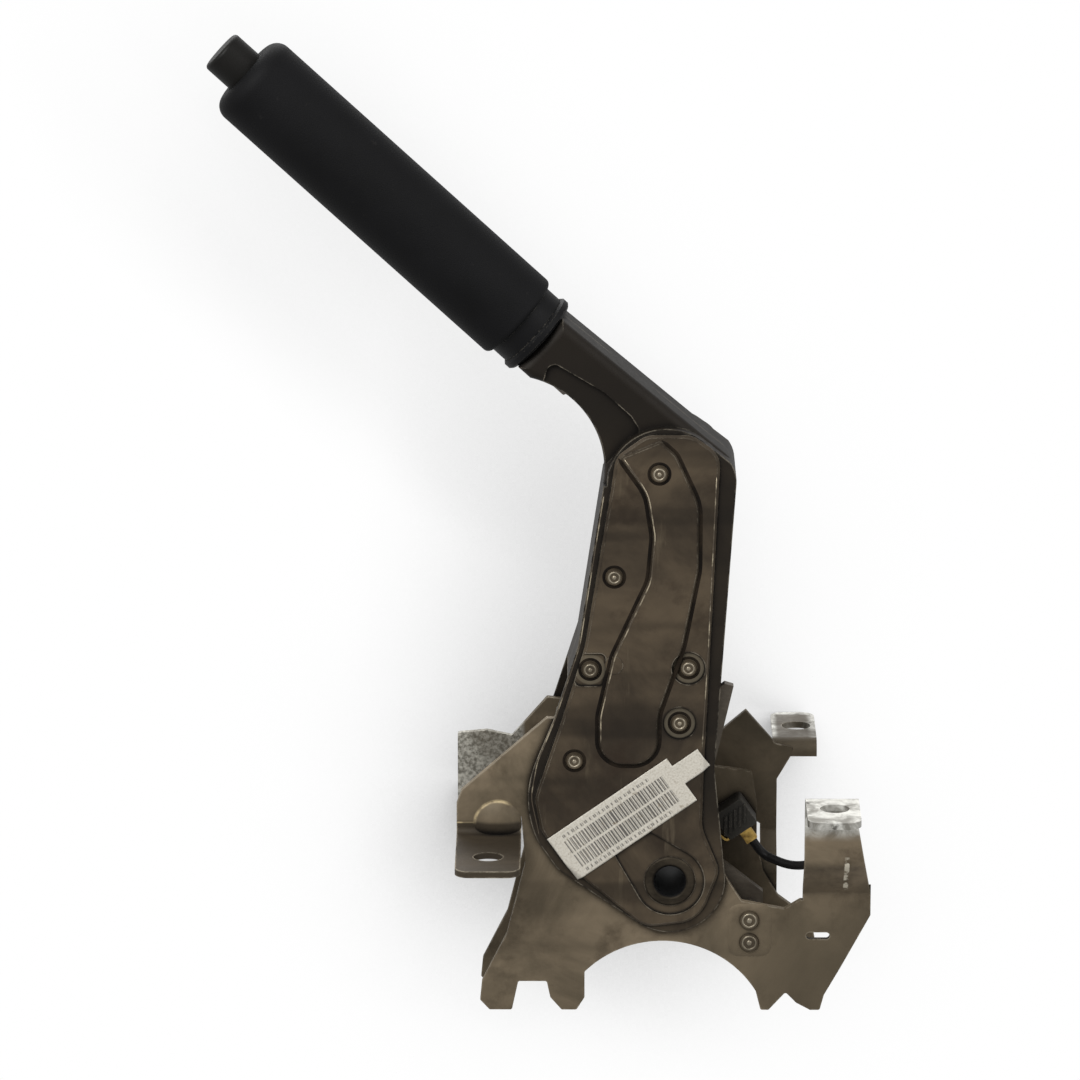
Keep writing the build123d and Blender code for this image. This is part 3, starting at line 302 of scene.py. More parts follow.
def dipped_steel(name, dark, light, stain, settings, flange=False):
    """A thin dark dip coat over pressed steel: painted shade with grease in the creases, bare metal on the
    edges with a painted glint along the left rim, and painted shade and highlights by region.
    """
    coat = Finish(name)
    across, depth, height = coat.parts()
    cloud = coat.noise(22.0, 6.0, 0.6, twist=0.6)
    fine = coat.noise(260.0, 5.0, 0.65)
    rubbed = coat.noise(1.0, 5.0, 0.6, coat.moved((180.0, 180.0, 26.0), (0.0, 0.5, 0.0)))
    colour = coat.blend(dark, light, cloud.step(0.34, 0.66) * 0.8 + fine * 0.2)
    blotch = coat.noise(46.0, 7.0, 0.62, coat.moved(shift=(0.4, 0.1, 0.7)))
    colour = coat.blend(colour, stain, blotch.step(0.52, 0.70) * 0.65)
    streak = rubbed.step(0.60, 0.74) * 0.30
    colour = coat.blend(colour, rgb(122, 110, 90), streak)
    stripes = coat.noise(1.0, 2.0, 0.5, coat.moved((4.0, 4.0, 62.0)))
    colour = coat.blend(colour, scaled(dark, 0.45), stripes.step(0.50, 0.64) * settings.banding)
    colour = shaded_base(coat, colour, dark) if flange else shaded_arm(coat, colour, dark)
    # Painted shade with grease: the coat goes near black where occlusion finds creases and corners
    open_air = coat.crevice(0.0042)
    shade_and_grime = open_air.fall(0.42, 0.93) * (0.80 + 0.5 * fine)
    colour = coat.blend(colour, rgb(13, 10, 7), shade_and_grime.clamp())
    if not flange:
        floors = seat_floors(across, depth, height)
        colour = coat.blend(colour, rgb(112, 104, 88), floors * (0.30 + 0.5 * fine))
    # Painted highlight with chips: bright bare patches are made denser along the left rim, low down;
    # elsewhere the bright edges are wear
    rim_chips_and_glint = across.fall(-0.0440, -0.0385) * height.band(0.012, 0.020, 0.060, 0.075)
    patches = (fine + cloud).step(0.90, 1.12) + (fine + cloud).step(0.74, 0.96) * rim_chips_and_glint
    wear_and_glint = coat.edge(0.0011).step(0.03, 0.22) * patches * open_air.step(0.55, 0.9)
    wear_and_glint = (wear_and_glint * settings.edge_wear_and_glint).clamp()
    colour = coat.blend(colour, rgb(176, 166, 148), wear_and_glint)
    rough = 0.44 + 0.22 * fine - 0.14 * streak + 0.25 * shade_and_grime
    metal = (0.22 + 0.50 * wear_and_glint).clamp()
    if flange:
        zinc, bare = bare_zinc(coat, cloud)
        colour = coat.blend(colour, zinc, bare)
        metal = (metal + 0.45 * bare).clamp()
        rough = rough - 0.12 * bare
    normal = coat.bump(fine * 0.35 + rubbed * 0.4 + cloud * 0.25, 0.22, 0.0006)
    return coat.close(colour, rough, metal, normal, shine=0.2)


def shaded_arm(coat, colour, dark):
    """The arm's coat with painted shade: darker up the neck and behind it, on the rim round the pad and
    along the folds.
    """
    _, depth, height = coat.parts()
    # Painted shade: darker up the neck
    colour = coat.blend(colour, scaled(dark, 0.55), height.step(0.150, 0.172) * 0.80)
    # Painted shade: near black on the neck's faces close to the middle plane, up high
    back = abs(depth).fall(0.0085, 0.0125) * height.step(0.125, 0.150)
    colour = coat.blend(colour, rgb(13, 11, 9), back * 0.8)
    # Painted shade: darker on the rim round the pad, more so higher up
    rim = abs(depth).fall(0.0174, 0.0183) * (0.30 + 0.55 * height.step(0.008, 0.030))
    colour = coat.blend(colour, rgb(22, 18, 13), rim)
    # Painted shade: darker along the folds and edges
    return coat.blend(colour, rgb(20, 16, 11), coat.edge(0.0015).step(0.015, 0.10) * 0.75)


def seat_floors(across, depth, height):
    """1 on the floors of the sunk rivet seats."""
    floors = None
    for x, z in (*ROUND_SEATS, SQUARE_SEAT):
        away, rise = across - x / 1000, height - z / 1000
        floor = ((away * away + rise * rise) ** 0.5).fall(0.0052, 0.0058)
        floors = floor if floors is None else floors.most(floor)
    return floors * abs(depth).band(0.0176, 0.0180, 0.0183, 0.0187)


def shaded_base(coat, colour, dark):
    """The base's coat with painted shade and highlights: darker low at the rear, on the far side and on the
    front wing's lower band, with painted highlights on the front wing and the tab.
    """
    across, depth, height = coat.parts()
    near = depth.fall(-0.0145, -0.0125)
    # Painted shade: darker low at the rear on the near side
    colour = coat.blend(colour, dark, across.step(0.0, 0.045) * height.fall(-0.020, 0.004) * near * 0.75)
    # Painted shade: darker on the far side
    colour = coat.blend(colour, scaled(dark, 0.45), depth.step(0.010, 0.014) * 0.6)
    wing = near * across.fall(-0.0545, -0.0520)
    # Painted shade: dark on the front wing's lower band, below its bend
    colour = coat.blend(colour, rgb(34, 28, 22), wing * height.band(0.0125, 0.0140, 0.0205, 0.0222) * 0.75)
    # Painted highlight: a bright arc round the top of the wing's bump and a bright line along the wing's
    # bend, broken into patches
    away, rise = across - WING_BUMP[0], height - WING_BUMP[1]
    reach = (away * away + rise * rise) ** 0.5
    ring = reach.band(0.0076, 0.0083, 0.0086, 0.0093) * rise.step(-0.0005, 0.0010)
    line = height.band(0.0206, 0.0209, 0.0211, 0.0214) * across.fall(-0.0705, -0.0700)
    patch = coat.noise(300.0, 4.0).step(0.40, 0.60)
    wing_highlight = (ring * across.fall(-0.0600, -0.0560) + line).clamp() * wing * (0.35 + 0.65 * patch)
    colour = coat.blend(colour, rgb(186, 168, 132), wing_highlight)
    # Painted highlight: a bright upright line down the near tab, broken into patches
    tab = near * across.band(0.0622, 0.0627, 0.0638, 0.0643) * height.band(-0.0040, -0.0020, 0.0110, 0.0130)
    return coat.blend(colour, rgb(226, 218, 198), (tab * patch * 2.2).clamp())


def bare_zinc(coat, cloud):
    """The colour of worn zinc, and a mask of the rear flanges and the far front flange, which show it."""
    across, depth, height = coat.parts()
    rear = across.step(0.0, 0.010) * abs(depth).step(0.0275, 0.0300) * height.step(0.0180, 0.0240)
    wing = across.fall(-0.0545, -0.0520) * depth.step(0.0, 0.005) * height.step(0.010, 0.013)
    scratch = coat.noise(110.0, 6.0, 0.65, twist=0.5)
    zinc = coat.blend(rgb(136, 133, 125), rgb(222, 221, 214), scratch.step(0.36, 0.62))
    spot = coat.noise(150.0, 6.0, 0.7)
    zinc = coat.blend(zinc, rgb(46, 42, 36), spot.step(0.60, 0.72) * 0.8)
    speckle = coat.noise(700.0, 5.0, 0.7).step(0.36, 0.64)
    zinc = coat.blend(zinc, coat.blend(rgb(124, 121, 111), rgb(206, 203, 192), speckle), wing)
    rims = across.step(0.0505, 0.0530) + across.fall(0.0385, 0.0405) + depth.step(0.0575, 0.0600)
    coated = depth.step(0.0, 0.005) * across.step(0.0, 0.010) * (0.8 - 0.8 * rims).clamp()
    bare = (rear + wing).clamp() * (1.0 - coated) * (0.35 + 0.9 * cloud.step(0.30, 0.55)).clamp()
    return zinc, bare


def dull_steel(name, dark, light, rough_level, crease_shade_strength, bore=None):
    """Unpainted steel, with painted shade and grease darkening its corners; bore is the radius within which
    the pivot's bore is painted black as shade.
    """
    steel = Finish(name)
    grain = steel.noise(1.0, 4.0, 0.6, steel.moved((300.0, 300.0, 900.0)))
    cloud = steel.noise(60.0, 5.0, 0.6)
    colour = steel.blend(dark, light, grain * 0.5 + cloud.step(0.35, 0.7) * 0.5)
    # Painted shade with grease: darker where occlusion finds corners
    open_air = steel.crevice(0.003)
    grease_and_shade = open_air.fall(0.35, 0.85) * crease_shade_strength
    colour = steel.blend(colour, rgb(24, 19, 14), grease_and_shade)
    # Painted shade: the pivot's bore is coloured near black within its radius
    if bore is not None:
        across, _, height = steel.parts()
        bore_shade = ((across * across + height * height) ** 0.5).fall(bore, bore + 0.0006)
        colour = steel.blend(colour, rgb(5, 5, 6), bore_shade)
        grease_and_shade = grease_and_shade.most(bore_shade)
    rough = rough_level + 0.2 * cloud + 0.2 * grease_and_shade
    normal = steel.bump(grain * 0.6 + cloud * 0.4, 0.15, 0.0004)
    metal = (0.75 - 0.75 * grease_and_shade).clamp()
    return steel.close(colour, rough, metal, normal, shine=0.5 if bore is None else 0.1)


def groove_grime():
    """Painted shade with old grease: a matt dark, a little uneven, for the beads in the grooves and round
    the rivets.
    """
    grease = Finish("groove_grime")
    cloud = grease.noise(90.0, 5.0, 0.6)
    colour = grease.blend(rgb(16, 12, 8), rgb(38, 31, 23), cloud.step(0.40, 0.66))
    return grease.close(colour, 0.6 + 0.3 * cloud, shine=0.1)


def rubbed_steel():
    """A painted highlight along an edge: bright in patches and brown between them, like bare metal showing
    through wear.
    """
    steel = Finish("rubbed_steel")
    patch = steel.noise(120.0, 5.0, 0.65)
    colour = steel.blend(rgb(74, 64, 51), rgb(176, 164, 140), patch.step(0.46, 0.62))
    return steel.close(colour, 0.5 - 0.15 * patch, 0.2 + 0.4 * patch.step(0.46, 0.62))


def grip_rubber(settings):
    """Soft black rubber with a fine moulded grain and a faint mould line."""
    rubber = Finish("grip_rubber")
    grain = rubber.cells(1900.0)
    cloud = rubber.noise(30.0, 5.0, 0.6)
    dust = rubber.noise(240.0, 6.0, 0.7)
    tone = settings.grip_colour
    colour = rubber.blend(scaled(tone, 0.72), scaled(tone, 1.5), cloud.step(0.3, 0.7))
    colour = rubber.blend(colour, rgb(52, 50, 48), dust.step(0.62, 0.76) * 0.30)
    seam = abs(rubber.parts()[1]).fall(0.0, 0.00035)
    normal = rubber.bump(grain * 0.6 + cloud * 0.5 + seam * 0.8, 0.30, 0.0003)
    rough = 0.50 + 0.16 * cloud + 0.10 * dust
    return rubber.close(colour, rough, normal=normal, shine=0.11)


def moulded_plastic(name, tone, rough_level):
    """Black moulded plastic, scuffed a little lighter on its edges."""
    plastic = Finish(name)
    grain = plastic.noise(700.0, 4.0, 0.6)
    cloud = plastic.noise(70.0, 5.0, 0.6)
    colour = plastic.blend(tone, scaled(tone, 2.2), cloud.step(0.45, 0.8) * 0.6)
    scuff = plastic.edge(0.0009).step(0.04, 0.3) * grain.step(0.45, 0.6)
    colour = plastic.blend(colour, rgb(120, 114, 104), scuff * 0.5)
    normal = plastic.bump(grain, 0.18, 0.0003)
    return plastic.close(colour, rough_level + 0.15 * grain, normal=normal, shine=0.15)


def old_brass(name):
    """Dull brass with brown tarnish."""
    brass = Finish(name)
    cloud = brass.noise(180.0, 5.0, 0.65)
    colour = brass.blend(rgb(206, 172, 96), rgb(104, 80, 44), cloud.step(0.42, 0.68))
    return brass.close(colour, 0.34 + 0.3 * cloud, 0.9, brass.bump(cloud, 0.15, 0.0003))


def label_paper(settings):
    """Worn white paper with rows of plain bars and dashes, which say nothing; its map is in millimetres."""
    paper = Finish("label_paper", uses_map=True)
    along, down, _ = paper.parts()
    fibre = paper.noise(1.4, 6.0, 0.7)
    colour = paper.blend(rgb(214, 209, 197), rgb(184, 176, 160), fibre.step(0.40, 0.72))
    waves = (along * 5.1).sine() + 0.8 * (along * 8.7 + 1.3).sine() + 0.6 * (along * 13.9).sine()
    bars = waves.step(-0.06, 0.06)
    rows = down.band(4.2, 4.35, 9.4, 9.55) + down.band(10.3, 10.45, 15.6, 15.75)
    bars = bars * along.band(4.4, 4.6, 48.0, 48.2) * rows
    dashes = ((along * 3.3).sine() + 0.9 * (along * 7.9 + 0.7).sine()).step(0.1, 0.3)
    lines = down.band(1.9, 2.05, 3.1, 3.25) + down.band(16.6, 16.75, 17.8, 17.95)
    dashes = dashes * along.band(5.5, 5.7, 43.0, 43.2) * lines
    ink = (bars + 0.8 * dashes) * settings.bar_darkness
    colour = paper.blend(colour, rgb(52, 50, 48), ink.clamp())
    smear = paper.noise(0.35, 5.0, 0.6)
    colour = paper.blend(colour, rgb(128, 112, 88), smear.step(0.56, 0.76) * 0.55)
    normal = paper.bump(fibre, 0.25, 0.0002)
    return paper.close(colour, 0.62 + 0.2 * fibre, normal=normal)


def white_backdrop(settings):
    """White for the camera, with the soft shadow of what stands before it, and open to every other ray."""
    paper = Finish("backdrop_paper")
    lean = paper.wire("ShaderNodeCombineXYZ", "Vector", None, {"X": 0.45, "Y": -0.70, "Z": 0.55})
    values = {"Distance": 0.10, "Normal": lean}
    open_air = paper.wire("ShaderNodeAmbientOcclusion", "AO", {"samples": 16}, values)
    shade = ((1.0 - open_air) * 1.7).clamp() ** 1.8 * settings.shadow
    tone = paper.blend((1.0, 1.0, 1.0), rgb(38, 36, 34), shade)
    seen = paper.wire("ShaderNodeBsdfPrincipled", 0, None, {
        "Base Color": (0.0, 0.0, 0.0, 1.0), "Roughness": 1.0, "Specular IOR Level": 0.0,
        "Emission Color": tone, "Emission Strength": 1.0})
    clear = paper.wire("ShaderNodeBsdfTransparent", 0)
    camera = paper.wire("ShaderNodeLightPath", "Is Camera Ray")
    back = paper.wire("ShaderNodeNewGeometry", "Backfacing")
    mixed = paper.wire("ShaderNodeMixShader", 0, None, {0: camera * (1.0 - back), 1: clear, 2: seen})
    paper.node("ShaderNodeOutputMaterial", None, {"Surface": mixed})
    return paper.material


# Meshes

def finished(name, mesh, material, body):
    """An object at the origin that rides on a body and takes its finish from a slot."""
    piece = bpy.data.objects.new(name, mesh)
    bpy.context.scene.collection.objects.link(piece)
    mesh.materials.clear()
    mesh.materials.append(material)
    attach(piece, body)
    return piece


def ringed_disc(name, vertices, rings, steps, side):
    """A disc of rings of vertices round its first one, which faces its side."""
    faces = []
    for step in range(steps):
        after = (step + 1) % steps
        faces.append((0, 1 + step, 1 + after))
        for ring in range(rings - 1):
            inner, outer = 1 + ring * steps, 1 + (ring + 1) * steps
            faces.append((inner + step, outer + step, outer + after, inner + after))
    mesh = bpy.data.meshes.new(name)
    mesh.from_pydata(vertices, [], faces)
    if mesh.polygons[0].normal.y * side < 0:
        mesh.flip_normals()
    return mesh


def raised_patch(name, middle, face, side, half_x, half_z, rise, sharp, square=2.0):
    """A low dome on an upright face: sharp is how steep its rim is, and square how square its outline is."""
    steps, rings = 56, 16
    x0, z0 = middle
    vertices = [(x0, side * (face + rise), z0)]
    for ring in range(1, rings + 1):
        share = ring / rings
        lift = rise * (1.0 - share ** sharp)
        for step in range(steps):
            turn = 2 * pi * step / steps
            reach = (abs(cos(turn)) ** square + abs(sin(turn)) ** square) ** (-1 / square)
            vertices.append((x0 + half_x * share * reach * cos(turn), side * (face + lift),
                             z0 + half_z * share * reach * sin(turn)))
    mesh = ringed_disc(name, vertices, rings, steps, side)
    mesh.polygons.foreach_set("use_smooth", [True] * len(mesh.polygons))
    return mesh


def rounded_path(corners, closed):
    """Points along straight runs that arcs join; each corner is given as its place and its radius."""
    count, path = len(corners), []
    for index, (corner, radius) in enumerate(corners):
        corner = Vector(corner)
        if not closed and index in (0, count - 1):
            inner = Vector(corners[1 if index == 0 else count - 2][0])
            beside = corner + (inner - corner).normalized() * LINE_TAPER
            path += [corner, beside] if index == 0 else [beside, corner]
            continue
        back = (Vector(corners[index - 1][0]) - corner).normalized()
        ahead = (Vector(corners[(index + 1) % count][0]) - corner).normalized()
        half = back.angle(ahead) / 2
        middle = corner + (back + ahead).normalized() * (radius / sin(half))
        start, end = corner + back * (radius / tan(half)), corner + ahead * (radius / tan(half))
        turn = (start - middle).angle_signed(end - middle)
        steps = max(3, int(abs(turn) * ARC_STEPS))
        for step in range(steps + 1):
            path.append(middle + Matrix.Rotation(-turn * step / steps, 2) @ (start - middle))
    return path


def surface_line(name, corners, side, aside, half_width, rise, level, closed):
    """A flat bead along a path on the arm's face, in mm; level gives the face's depth at a place."""
    path = rounded_path(corners, closed)
    count = len(path)
    vertices, faces = [], []
    for index, point in enumerate(path):
        before = path[index - 1] if closed or index else point
        after = path[(index + 1) % count] if closed or index < count - 1 else point
        run = (after - before).normalized()
        out = Vector((-run.y, run.x))
        thin = LINE_TIP if not closed and index in (0, count - 1) else 1.0
        for across, lift in LINE_SECTION:
            spot = point + out * (aside + across * half_width * thin)
            depth = level(spot.x, spot.y) + lift * rise * thin
            vertices.append((spot.x / 1000, side * depth / 1000, spot.y / 1000))
    wide = len(LINE_SECTION)
    for index in range(count if closed else count - 1):
        here, there = index * wide, (index + 1) % count * wide
        for step in range(wide):
            after = (step + 1) % wide
            faces.append((here + step, here + after, there + after, there + step))
    if not closed:
        faces += [tuple(range(wide)), tuple(range((count - 1) * wide, count * wide))]
    mesh = bpy.data.meshes.new(name)
    mesh.from_pydata(vertices, [], faces)
    bead = bmesh.new()
    bead.from_mesh(mesh)
    bmesh.ops.recalc_face_normals(bead, faces=bead.faces)
    bead.to_mesh(mesh)
    bead.free()
    mesh.polygons.foreach_set("use_smooth", [True] * len(mesh.polygons))
    return mesh


def arm_level(x, z):
    """Depth of the arm's pad at a place, with its sunk rivet seats."""
    round_seat = any((x - seat[0]) ** 2 + (z - seat[1]) ** 2 < SEAT_R ** 2 for seat in ROUND_SEATS)
    square_seat = abs(x - SQUARE_SEAT[0]) < SEAT_R - 0.5 and abs(z - SQUARE_SEAT[1]) < SEAT_R
    return PAD_FACE - SEAT_DROP if round_seat or square_seat else PAD_FACE


def pin_cover(name, side):
    """The closed face over the pawl pin's end, which follows the channel's slanted edge."""
    rings, steps = 14, 48
    vertices = []
    for ring in range(rings + 1):
        for step in range(steps if ring else 1):
            reach = PIN_COVER_R * ring / rings
            x = PAWL_PIN[0] + reach * cos(2 * pi * step / steps)
            z = PAWL_PIN[1] + reach * sin(2 * pi * step / steps)
            above = z - CHANNEL_KNEE[1]
            foot = CHANNEL_KNEE[0] + above * (CHANNEL_LEAN_ABOVE if above > 0 else CHANNEL_LEAN_BELOW)
            climb = max(0.0, min(1.0, (x - foot) / CHANNEL_DRAFT)) * (CHANNEL_FACE - PAD_FACE)
            vertices.append((x / 1000, side * (PAD_FACE + climb + PIN_COVER_RISE) / 1000, z / 1000))
    return ringed_disc(name, vertices, rings, steps, side)


def add_line(name, material, corners, side, aside, half_width, rise, level, closed=False):
    """A bead on the arm's face, with its finish."""
    mesh = surface_line(name, corners, side, aside, half_width, rise, level, closed)
    finished(name, mesh, material, "arm")


def dress(names, material):
    """Gives CAD nodes a material."""
    for name in names:
        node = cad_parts[name]
        node.data.materials.clear()
        node.data.materials.append(material)


def grown(name, points, turns, tree, values, material, body, sizes=None):
    """Runs a geometry tree on a cloud of points, and keeps the result as a plain mesh."""
    cloud = bpy.data.meshes.new(name + "_points")
    cloud.from_pydata(points, [], [])
    facing = cloud.attributes.new("facing", "FLOAT_VECTOR", "POINT")
    facing.data.foreach_set("vector", [number for turn in turns for number in turn])
    size = cloud.attributes.new("size", "FLOAT", "POINT")
    size.data.foreach_set("value", sizes or [1.0] * len(points))
    holder = bpy.data.objects.new(name + "_holder", cloud)
    bpy.context.scene.collection.objects.link(holder)
    grower = holder.modifiers.new("grow", "NODES")
    grower.node_group = tree
    for socket in tree.interface.items_tree:
        if socket.item_type == "SOCKET" and socket.in_out == "INPUT" and socket.name in values:
            grower[socket.identifier] = values[socket.name]
    bpy.context.view_layer.update()
    evaluated = holder.evaluated_get(bpy.context.evaluated_depsgraph_get())
    mesh = bpy.data.meshes.new_from_object(evaluated)
    mesh.name = name
    holder.modifiers.remove(grower)
    bpy.data.objects.remove(holder)
    return finished(name, mesh, material, body)


def geometry_tree(name, inputs):
    """A geometry tree's bench, and a way to its inputs by name."""
    tree = bpy.data.node_groups.new(name, "GeometryNodeTree")
    tree.interface.new_socket("Geometry", in_out="INPUT", socket_type="NodeSocketGeometry")
    for label, kind, default in inputs:
        socket = tree.interface.new_socket(label, in_out="INPUT", socket_type=kind)
        if default is not None:
            socket.default_value = default
    tree.interface.new_socket("Geometry", in_out="OUTPUT", socket_type="NodeSocketGeometry")
    bench = Bench(tree)
    source = bench.node("NodeGroupInput")

    def given(name):
        return Wire(bench, source.outputs[name])

    return bench, given


def placed_copies(bench, given, shape):
    """Puts a shape on each point, turned and sized by the point's own values, and gives the tree."""
    named = "GeometryNodeInputNamedAttribute"
    facing = bench.wire(named, "Attribute", {"data_type": "FLOAT_VECTOR"}, {"Name": "facing"})
    turn = bench.wire("FunctionNodeAlignRotationToVector", "Rotation", {"axis": "Z"}, {"Vector": facing})
    size = bench.wire(named, "Attribute", {"data_type": "FLOAT"}, {"Name": "size"})
    values = {"Points": given("Geometry"), "Instance": shape, "Rotation": turn, "Scale": size}
    copies = bench.wire("GeometryNodeInstanceOnPoints", "Instances", None, values)
    real = bench.wire("GeometryNodeRealizeInstances", "Geometry", None, {"Geometry": copies})
    values = {"Geometry": real, "Material": given("Material")}
    painted = bench.wire("GeometryNodeSetMaterial", "Geometry", None, values)
    bench.node("NodeGroupOutput", None, {"Geometry": painted})
    return bench.tree


def rivet_face_tree():
    """A closing ring round a small domed point, as a rivet tool leaves them."""
    bench, given = geometry_tree("rivet_face", [
        ("Ring Radius", "NodeSocketFloat", 0.0022), ("Ring Thickness", "NodeSocketFloat", 0.0004),
        ("Point Radius", "NodeSocketFloat", 0.0009), ("Material", "NodeSocketMaterial", None)])

    def circle(resolution, radius):
        return bench.wire("GeometryNodeCurvePrimitiveCircle", "Curve", {"mode": "RADIUS"},
                          {"Resolution": resolution, "Radius": given(radius)})

    ring = bench.wire("GeometryNodeCurveToMesh", "Mesh", None,
                      {"Curve": circle(32, "Ring Radius"), "Profile Curve": circle(10, "Ring Thickness")})
    ball = bench.wire("GeometryNodeMeshUVSphere", "Mesh", None,
                      {"Segments": 18, "Rings": 10, "Radius": given("Point Radius")})
    dome = bench.wire("GeometryNodeTransform", "Geometry", None,
                      {"Geometry": ball, "Scale": (1.0, 1.0, 0.55)})
    both = bench.node("GeometryNodeJoinGeometry")
    bench.tree.links.new(ring.socket, both.inputs[0])
    bench.tree.links.new(dome.socket, both.inputs[0])
    return placed_copies(bench, given, Wire(bench, both.outputs[0]))


def weld_bead_tree():
    """Flattened drops, which overlap into a weld bead."""
    bench, given = geometry_tree("weld_bead", [
        ("Drop Radius", "NodeSocketFloat", 0.0014), ("Drop Height", "NodeSocketFloat", 0.55),
        ("Material", "NodeSocketMaterial", None)])
    ball = bench.wire("GeometryNodeMeshIcoSphere", "Mesh", None,
                      {"Radius": given("Drop Radius"), "Subdivisions": 3})
    height = bench.wire("ShaderNodeCombineXYZ", "Vector", None,
                        {"X": 1.0, "Y": 1.0, "Z": given("Drop Height")})
    drop = bench.wire("GeometryNodeTransform", "Geometry", None, {"Geometry": ball, "Scale": height})
    return placed_copies(bench, given, drop)


def rib_tree():
    """Small upright bars, side by side."""
    bench, given = geometry_tree("rib", [
        ("Length", "NodeSocketFloat", 0.008), ("Width", "NodeSocketFloat", 0.0008),
        ("Material", "NodeSocketMaterial", None)])
    size = bench.wire("ShaderNodeCombineXYZ", "Vector", None,
                      {"X": given("Width"), "Y": given("Length"), "Z": 0.0012})
    bar = bench.wire("GeometryNodeMeshCube", "Mesh", None, {"Size": size})
    return placed_copies(bench, given, bar)


# Sizes and colours that a user would change

def colour_setting(name, description, default):
    return bpy.props.FloatVectorProperty(
        name=name, description=description, subtype="COLOR", size=3, default=default, min=0.0, max=1.0)


def number_setting(name, description, default, low=0.0, high=1.0, **options):
    return bpy.props.FloatProperty(
        name=name, description=description, default=default, min=low, max=high, **options)


def angle_setting(name, description, degrees):
    return bpy.props.FloatProperty(
        name=name, description=description, default=radians(degrees), subtype="ANGLE")


class ArmSettings(bpy.types.PropertyGroup):
    dark_coat: colour_setting("Dark coat", "Darkest tone of the arm's coat", rgb(46, 39, 31))
    light_coat: colour_setting("Light coat", "Lightest tone of the arm's coat", rgb(92, 80, 64))
    # Also scales the painted glint along the left rim
    edge_wear_and_glint: number_setting("Edge wear", "How much of the edges is bare metal", 0.55, high=2.0)
    banding: number_setting("Banding", "Strength of the dark bands across the arm", 0.60)


class BaseSettings(bpy.types.PropertyGroup):
    dark_coat: colour_setting("Dark coat", "Darkest tone of the bracket's coat", rgb(86, 77, 62))
    light_coat: colour_setting("Light coat", "Lightest tone of the bracket's coat", rgb(142, 127, 105))
    # Also scales the painted glint along the left rim
    edge_wear_and_glint: number_setting("Edge wear", "How much of the edges is bare metal", 0.7, high=2.0)
    banding: number_setting("Banding", "Strength of the dark bands across the plates", 0.25)
    bead_radius: number_setting("Weld bead", "Radius of the weld bead's drops", 0.0011, 0.0003, 0.003,
                                unit="LENGTH")


class GripSettings(bpy.types.PropertyGroup):
    grip_colour: colour_setting("Rubber", "Colour of the grip", rgb(11, 11, 12))
    button_colour: colour_setting("Button", "Colour of the release button", rgb(17, 16, 14))


class LabelSettings(bpy.types.PropertyGroup):
    length: number_setting("Length", "Length of the label's main part, in millimetres", 53.0, 20.0, 70.0)
    width: number_setting("Width", "Width of the label's main part, in millimetres", 19.4, 8.0, 24.0)
    turn: angle_setting("Turn", "Slope of the label on the arm", 35.3)
    bar_darkness: number_setting("Bars", "Strength of the printed bars", 0.86)


class StageSettings(bpy.types.PropertyGroup):
    azimuth: angle_setting("Azimuth", "Camera's side angle", 0.3)
    elevation: angle_setting("Elevation", "Camera's height angle", 14.4)
    distance: number_setting("Distance", "Camera's distance", 2.4, 0.3, 10.0, unit="LENGTH")
    lamp_power: number_setting("Lamp power", "Power of the main lamp", 13.0, high=100.0, unit="POWER")
    ambient: number_setting("Ambient", "Strength of the light from all round", 0.34)
    shadow: number_setting("Shadow", "Depth of the soft shadow on the backdrop", 0.85)


# Pieces

class FinishArm(bpy.types.Operator):
    """Coats the two arm pressings, their doublers and the neck tube"""
    bl_idname = "brake_lever.finish_arm"
    bl_label = "Arm"

    def execute(self, context):
        settings = context.scene.brake_arm
        coat = dipped_steel("arm_dip_coat", tuple(settings.dark_coat), tuple(settings.light_coat),
                            rgb(44, 34, 25), settings)
        dress(["near_arm_shell", "far_arm_shell", "near_doubler", "far_doubler"], coat)
        dress(["neck_tube"], dull_steel("neck_tube_steel", rgb(58, 44, 34), rgb(96, 84, 70), 0.45, 0.9))
        return {"FINISHED"}


class FinishBase(bpy.types.Operator):
    """Coats the base plates and the rear bracket, with bare metal on the bolt flanges"""
    bl_idname = "brake_lever.finish_base"
    bl_label = "Base bracket"

    def execute(self, context):
        settings = context.scene.brake_base
        coat = dipped_steel("base_dip_coat", tuple(settings.dark_coat), tuple(settings.light_coat),
                            rgb(60, 50, 38), settings, flange=True)
        dress(["near_base_plate", "far_base_plate", "rear_bracket"], coat)
        return {"FINISHED"}


class FinishMechanism(bpy.types.Operator):
    """Finishes the ratchet, the pawl, the pins, the rivets, the drum, the spring and the brass pieces"""
    bl_idname = "brake_lever.finish_mechanism"
    bl_label = "Mechanism"

    def execute(self, context):
        hard = dull_steel("hardened_steel", rgb(62, 54, 46), rgb(122, 114, 102), 0.38, 0.9)
        dress(["toothed_sector", "pawl", "pawl_pivot_pin", "pawl_spacers", "base_spacers", "cable_drum",
               "push_rod", "spring_seat"], hard)
        bright = dull_steel("rivet_steel", rgb(58, 50, 40), rgb(110, 98, 80), 0.34, 1.0)
        dress(["base_rivets", "near_arm_rivets", "far_arm_rivets"], bright)
        # The pivot tube's steel, with its bore painted near black as shade
        shaded_bore_steel = dull_steel("pivot_steel", rgb(22, 19, 16), rgb(82, 74, 62), 0.42, 1.0, bore=0.0057)
        dress(["pivot_tube"], shaded_bore_steel)
        coil = dull_steel("spring_steel", rgb(120, 116, 108), rgb(190, 186, 178), 0.3, 0.4)
        dress(["button_spring"], coil)
        brass = old_brass("dull_brass")
        dress(["near_pivot_bush", "far_pivot_bush", "switch_terminal", "switch_blade"], brass)
        return {"FINISHED"}


